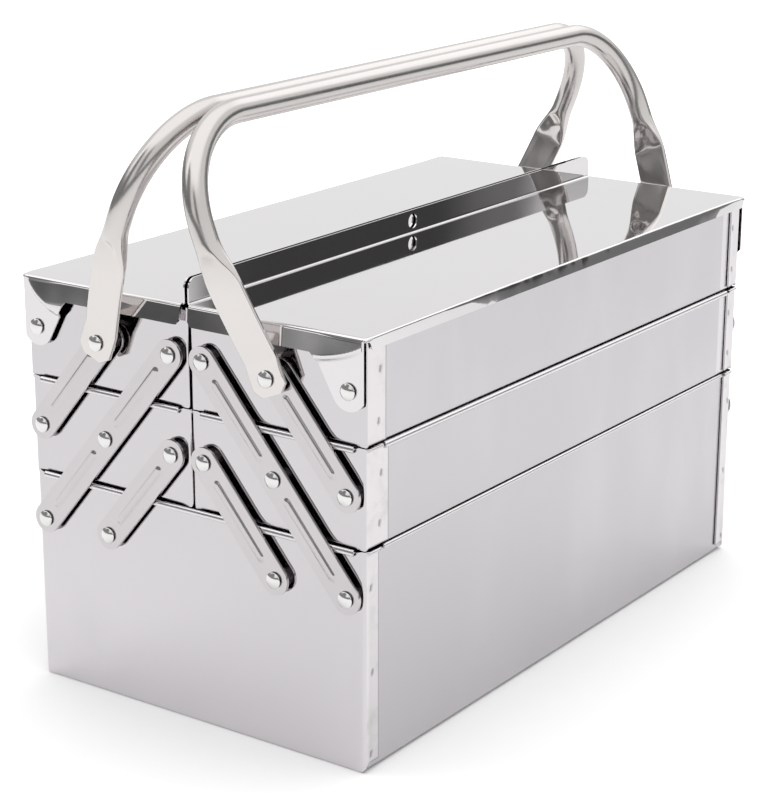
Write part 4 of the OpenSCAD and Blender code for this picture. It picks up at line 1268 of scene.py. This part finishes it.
class TOOLBOX_OT_lids(bpy.types.Operator):
    """Make the two lids, each one folded sheet with ears, a flared end flange and an upright middle edge"""

    bl_idname = "toolbox.lids"
    bl_label = "Lids"

    def execute(self, context):
        s = Sizes()
        for side, sign in SIDES.items():
            form, node = LidShape(s, side), "lid_" + side
            shape = bmesh.new()
            self.fold_sheet(shape, form)
            self.bore_lock_hole(shape, form)
            bmesh.ops.remove_doubles(shape, verts=shape.verts, dist=0.00001)
            for loose in [vert for vert in shape.verts if not vert.link_faces]:
                shape.verts.remove(loose)
            self.round_ears(shape, form)
            bmesh.ops.recalc_face_normals(shape, faces=shape.faces)
            sheet = mesh_of(node, shape, closed=False)
            sheet.transform(Matrix.Diagonal((1, sign, 1, 1)))
            turn_outwards(sheet)
            pivots = [(x, sign * s.lid_pivot_y, s.lid_pivot_z) for x in (-form.x, form.x)]
            made = pressed(node, sheet, [], pivots, 0.001, 0.0, s.bore_r, mirror_steel(),
                           thickened(s.lid.sheet, use_even_offset=True))
            finish_piece("cover_" + node, made, mirror_steel(), BODY_OF[node], [node])
        return {"FINISHED"}

    def fold_sheet(self, shape, form):
        """The flat, the long side's flange, the end skirts with their corners, and the upstand."""
        lid = form.lid
        half, edge, hole = form.x - lid.corner_r, form.y - lid.corner_r, self.hole_zone(lid)
        start = form.start + form.r - lid.sheet
        ys = steps(start, lid.crease_y, 0.0016) + steps(lid.crease_y, edge, 0.0006)[1:]
        xs = steps(-half, -form.fine_x, 0.0006) + steps(-form.fine_x, -hole, 0.004)[1:]
        xs += steps(-hole, 0.0, 0.0014)[1:-1]
        xs += [0.0] + [-x for x in reversed(xs)]
        open_loft(shape, [[(x, y, form.z) for y in ys] for x in xs])
        open_loft(shape, [form.long_side(x) for x in xs])
        for end in ENDS:
            open_loft(shape, [turned(form.skirt(y), end, "left") for y in ys])
            open_loft(shape, [turned(form.corner(turn), end, "left")
                              for turn in steps(math.pi, math.pi / 2, math.pi / 16)])
        open_loft(shape, [form.upright(x) for x in xs])

    def hole_zone(self, lid):
        """Half the width of the stretch of upstand that is opened for the lock hole."""
        return lid.lock_d * 0.7

    def bore_lock_hole(self, shape, form):
        """Open the upstand about the lock hole and fill it again up to a round rim."""
        lid = form.lid
        centre = Vector((0, form.start, form.z + lid.upstand_h - lid.lock_drop))
        low, high = centre.z - lid.lock_d * 0.6, centre.z + lid.lock_d * 0.63

        def opened(face):
            middle = face.calc_center_median()
            upright = abs(middle.y - form.start) < 0.0001
            return upright and abs(middle.x) < self.hole_zone(lid) and low < middle.z < high

        inner = [face for face in shape.faces if opened(face)]
        ring = {edge for face in inner for edge in face.edges
                if sum(other in inner for other in edge.link_faces) == 1}
        bmesh.ops.delete(shape, geom=inner, context="FACES_KEEP_BOUNDARY")
        loop = {vert for edge in ring if edge.is_valid for vert in edge.verts}
        order = sorted(loop, key=lambda vert: math.atan2(vert.co.z - centre.z, vert.co.x))
        rim = [shape.verts.new(centre + (vert.co - centre).normalized() * (lid.lock_d / 2)) for vert in order]
        for k in range(len(order)):
            j = (k + 1) % len(order)
            shape.faces.new((order[k], order[j], rim[j], rim[k]))

    def round_ears(self, shape, form):
        """The round end of each ear, past the rolled corner."""
        lid, top = form.lid, form.z - form.lid.corner_h
        rows = [[(-form.x, y, z) for z in steps(top, form.low(y), (top - form.low(y)) / 20)]
                for y in steps(form.y - lid.corner_r, form.s.half_w + lid.ear_side, 0.0004)]
        for end in ENDS:
            open_loft(shape, [turned(row, end, "left") for row in rows])


def turn_outwards(data):
    """Turn every island of open sheet so that its faces look away from the inside of the case."""
    shape = bmesh.new()
    shape.from_mesh(data)
    left = set(shape.faces)
    while left:
        stack, island = [left.pop()], []
        while stack:
            face = stack.pop()
            island.append(face)
            for other in (f for edge in face.edges for f in edge.link_faces):
                if other in left:
                    left.remove(other)
                    stack.append(other)
        score = sum(f.normal.dot(Vector((f.calc_center_median().x, 0, 0.05))) * f.calc_area() for f in island)
        if score < 0:
            bmesh.ops.reverse_faces(shape, faces=island)
    shape.to_mesh(data)
    shape.free()


# ---- Spacers ----


class TOOLBOX_OT_plain(bpy.types.Operator):
    """Finish the spacers behind the arms and the lids' ears in dark steel, a painted shade for where they sit
    in shadow; they keep the frame's own shape
    """

    bl_idname = "toolbox.plain"
    bl_label = "Spacers"

    def execute(self, context):
        for node, made in frame["nodes"].items():
            if "_spacers" in node:
                made.data.materials.clear()
                made.data.materials.append(spacer_shade_steel())
        return {"FINISHED"}


# ---- Stage ----


class StageSettings(bpy.types.PropertyGroup):
    """Floor, surroundings, lamps and camera."""

    floor_colour: colour("Floor", "Colour of the pale floor", (0.89, 0.89, 0.89))
    dark_level: ratio("Dark gap", "Brightness of the dark gap between the soft boxes", 0.07)
    band_level: ratio("Room band", "Brightness of the dim room along the horizon", 0.2)
    wall_level: ratio("Dim wall", "Brightness of the dim wall behind and to the left", 0.23)
    key_level: ratio("Far soft box", "Brightness of the soft box beyond the object", 1.7, most=4.0)
    side_level: ratio("Left soft box", "Brightness of the soft box beyond the left side", 1.7, most=4.0)
    top_level: ratio("Overhead", "Brightness of the bright panel overhead", 1.5, most=4.0)
    lamp_power: bpy.props.FloatProperty(name="Soft box", description="Power of the overhead soft box",
                                        default=4.0, min=0.0, subtype="POWER")
    camera_place: bpy.props.FloatVectorProperty(
        name="Camera", description="Place of the camera", default=(-0.9462, -0.6500, 0.4737), size=3,
        subtype="TRANSLATION", unit="LENGTH")
    camera_turn: bpy.props.FloatVectorProperty(
        name="Camera turn", description="Heading, downward pitch and roll of the camera", size=3,
        subtype="EULER", unit="ROTATION",
        default=(math.radians(35.16), math.radians(17.18), math.radians(0.13)))
    lens: bpy.props.FloatProperty(name="Lens", description="Focal length", default=101.4, min=10,
                                  unit="CAMERA")


def make_floor(stage):
    """A matt floor that turns white towards the distance, but only as the camera sees it."""
    half = 5.0
    white_from, white_to = 0.15, 0.8
    data = bpy.data.meshes.new("floor")
    corners = [(-half, -half, 0), (half, -half, 0), (half, half, 0), (-half, half, 0)]
    data.from_pydata(corners, [], [(0, 1, 2, 3)])
    floor = add_object("floor", data)
    material = bpy.data.materials.new("Pale floor")
    material.use_nodes = True
    tree = Tree(material.node_tree)
    shader = tree.tree.nodes["Principled BSDF"]
    shader.inputs["Roughness"].default_value = 0.9
    shader.inputs["Specular IOR Level"].default_value = 0.0
    place = tree.node("ShaderNodeTexCoord").outputs["Object"]
    far = tree.node("ShaderNodeVectorMath", {"operation": "LENGTH"}, Vector=place).outputs["Value"]
    seen = tree.node("ShaderNodeLightPath").outputs["Is Camera Ray"]
    tree.feed(shader.inputs["Base Color"], tree.mix_colour(seen, rgba(stage.floor_colour), rgba([0.93] * 3)))
    glow = tree.math("MULTIPLY", tree.remap(far, white_from, white_to), seen)
    tree.feed(shader.inputs["Emission Color"], tree.mix_colour(glow, rgba([0.0] * 3), rgba([0.5] * 3)))
    shader.inputs["Emission Strength"].default_value = 1.0
    data.materials.append(material)


def make_world(stage):
    """The studio that the steel mirrors: bright all round, with dim and brighter areas placed by heading and
    rise in degrees. The camera itself sees it white."""
    world = bpy.data.worlds.new("Studio")
    bpy.context.scene.world = world
    world.use_nodes = True
    tree = Tree(world.node_tree)
    background = tree.tree.nodes["Background"]
    towards = tree.node("ShaderNodeTexCoord").outputs["Generated"]
    split = tree.split(towards)
    heading = tree.math("DEGREES", tree.math("ARCTAN2", split["Y"], split["X"]))
    rise = tree.math("DEGREES", tree.math("ARCSINE", split["Z"]))

    def window(value, low, high, soft):
        return tree.math("MULTIPLY", tree.remap(value, low - soft, low + soft),
                         tree.remap(value, high - soft, high + soft, 1.0, 0.0))

    def area(from_heading, to_heading, side_soft, from_rise, to_rise, top_soft):
        return tree.math("MULTIPLY", window(heading, from_heading, to_heading, side_soft),
                         window(rise, from_rise, to_rise, top_soft))

    # The dim room shows along the horizon, except about the heading that the camera looks along
    off_view = tree.math("ABSOLUTE", tree.math("SUBTRACT", heading, 36.0))
    room = tree.math("MULTIPLY", window(rise, -3.0, 11.0, 3.0), tree.remap(off_view, 20.0, 42.0))
    # The dim wall steps up to the left
    wall_top = tree.remap(heading, 134.0, 137.0, 21.0, 50.0)
    below_top = tree.remap(tree.math("SUBTRACT", rise, wall_top), -3.0, 3.0, 1.0, 0.0)
    wall = tree.math("MULTIPLY", window(heading, 84.0, 166.0, 5.0), below_top)
    wall = tree.math("MAXIMUM", wall, area(-168.0, -146.0, 4.0, 14.0, 44.0, 4.0))
    patches = tree.noise(tree.stretch(towards, (26.0, 26.0, 16.0)), 1.0, 3.0, 0.6)
    clutter = tree.remap(patches, 0.3, 0.7, 0.4, 1.9)
    dim = tree.math("MULTIPLY", clutter, stage.wall_level)
    # The gap between the soft boxes is darkest at its right
    gap = area(-40.0, -31.2, 0.5, 1.0, 17.0, 1.2)
    dark = tree.remap(heading, -33.9, -32.3, stage.dark_level, stage.band_level * 1.05)
    key = area(-22.0, 22.0, 5.0, 23.0, 46.0, 4.0)
    side = area(116.0, 134.0, 2.0, 27.0, 56.0, 4.0)
    level = tree.remap(rise, 38.0, 54.0, 0.97, stage.top_level)
    areas = ((key, stage.key_level), (side, stage.side_level), (room, stage.band_level), (wall, dim),
             (gap, dark))
    for share, other in areas:
        level = tree.mix(share, level, other)
    seen = tree.node("ShaderNodeLightPath").outputs["Is Camera Ray"]
    level = tree.math("MAXIMUM", level, seen)
    grey = tree.node("ShaderNodeCombineColor", Red=level, Green=level, Blue=level).outputs["Color"]
    tree.feed(background.inputs["Color"], grey)
    background.inputs["Strength"].default_value = 1.0


def make_lamp(stage):
    """A soft box overhead, aimed at the case and not mirrored in it."""
    lamp = bpy.data.lights.new("soft_box", "AREA")
    lamp.shape = "DISK"
    lamp.size = 1.1
    lamp.energy = stage.lamp_power
    made = add_object("soft_box", lamp)
    made.location = (-0.25, -0.2, 1.5)
    made.visible_glossy = False
    made.rotation_euler = (Vector((0, 0, 0.1)) - made.location).to_track_quat("-Z", "Y").to_euler()


def make_camera(stage):
    heading, pitch, roll = stage.camera_turn
    flat = math.cos(pitch)
    forward = Vector((flat * math.cos(heading), flat * math.sin(heading), -math.sin(pitch)))
    across = Vector((math.sin(heading), -math.cos(heading), 0))
    upward = across.cross(forward)
    right = math.cos(roll) * across + math.sin(roll) * upward
    up = right.cross(forward)
    data = bpy.data.cameras.new("camera")
    data.lens = stage.lens
    data.sensor_width = 36.0
    data.clip_start = 0.05
    camera = add_object("camera", data)
    camera.matrix_world = Matrix((
        (right[0], up[0], -forward[0], stage.camera_place[0]),
        (right[1], up[1], -forward[1], stage.camera_place[1]),
        (right[2], up[2], -forward[2], stage.camera_place[2]),
        (0, 0, 0, 1),
    ))
    bpy.context.scene.camera = camera


class TOOLBOX_OT_stage(bpy.types.Operator):
    """Make the floor, the surroundings, the lamp and the camera"""

    bl_idname = "toolbox.stage"
    bl_label = "Stage"

    def execute(self, context):
        stage = context.scene.toolbox_stage
        make_floor(stage)
        make_world(stage)
        make_lamp(stage)
        make_camera(stage)
        context.scene.view_settings.view_transform = "Standard"
        return {"FINISHED"}


class TOOLBOX_PT_panel(bpy.types.Panel):
    """Lists the steps that make the tool box, and its sizes and colours"""

    bl_idname = "TOOLBOX_PT_panel"
    bl_label = "Cantilever tool box"
    bl_space_type = "VIEW_3D"
    bl_region_type = "UI"
    bl_category = "Tool Box"

    def draw(self, context):
        for step in STEPS:
            self.layout.operator("toolbox." + step)
        for group in SETTINGS:
            for key in SETTINGS[group].__annotations__:
                self.layout.prop(getattr(context.scene, group), key)


STEPS = ("plain", "arms", "rivets", "handles", "ends", "shells", "lids", "stage")
SETTINGS = {
    "toolbox_case": CaseSettings,
    "toolbox_link": LinkSettings,
    "toolbox_lid": LidSettings,
    "toolbox_handle": HandleSettings,
    "toolbox_finish": FinishSettings,
    "toolbox_stage": StageSettings,
}
OPERATORS = (TOOLBOX_OT_plain, TOOLBOX_OT_arms, TOOLBOX_OT_rivets, TOOLBOX_OT_handles, TOOLBOX_OT_ends,
             TOOLBOX_OT_shells, TOOLBOX_OT_lids, TOOLBOX_OT_stage)


def register():
    for made in (*SETTINGS.values(), *OPERATORS, TOOLBOX_PT_panel):
        bpy.utils.register_class(made)
    for name, made in SETTINGS.items():
        setattr(bpy.types.Scene, name, bpy.props.PointerProperty(type=made))


def unregister():
    for name in SETTINGS:
        delattr(bpy.types.Scene, name)
    for made in (TOOLBOX_PT_panel, *reversed(OPERATORS), *reversed(SETTINGS.values())):
        bpy.utils.unregister_class(made)


def main():
    register()
    for step in STEPS:
        getattr(bpy.ops.toolbox, step)()


if __name__ == "__main__":
    main()
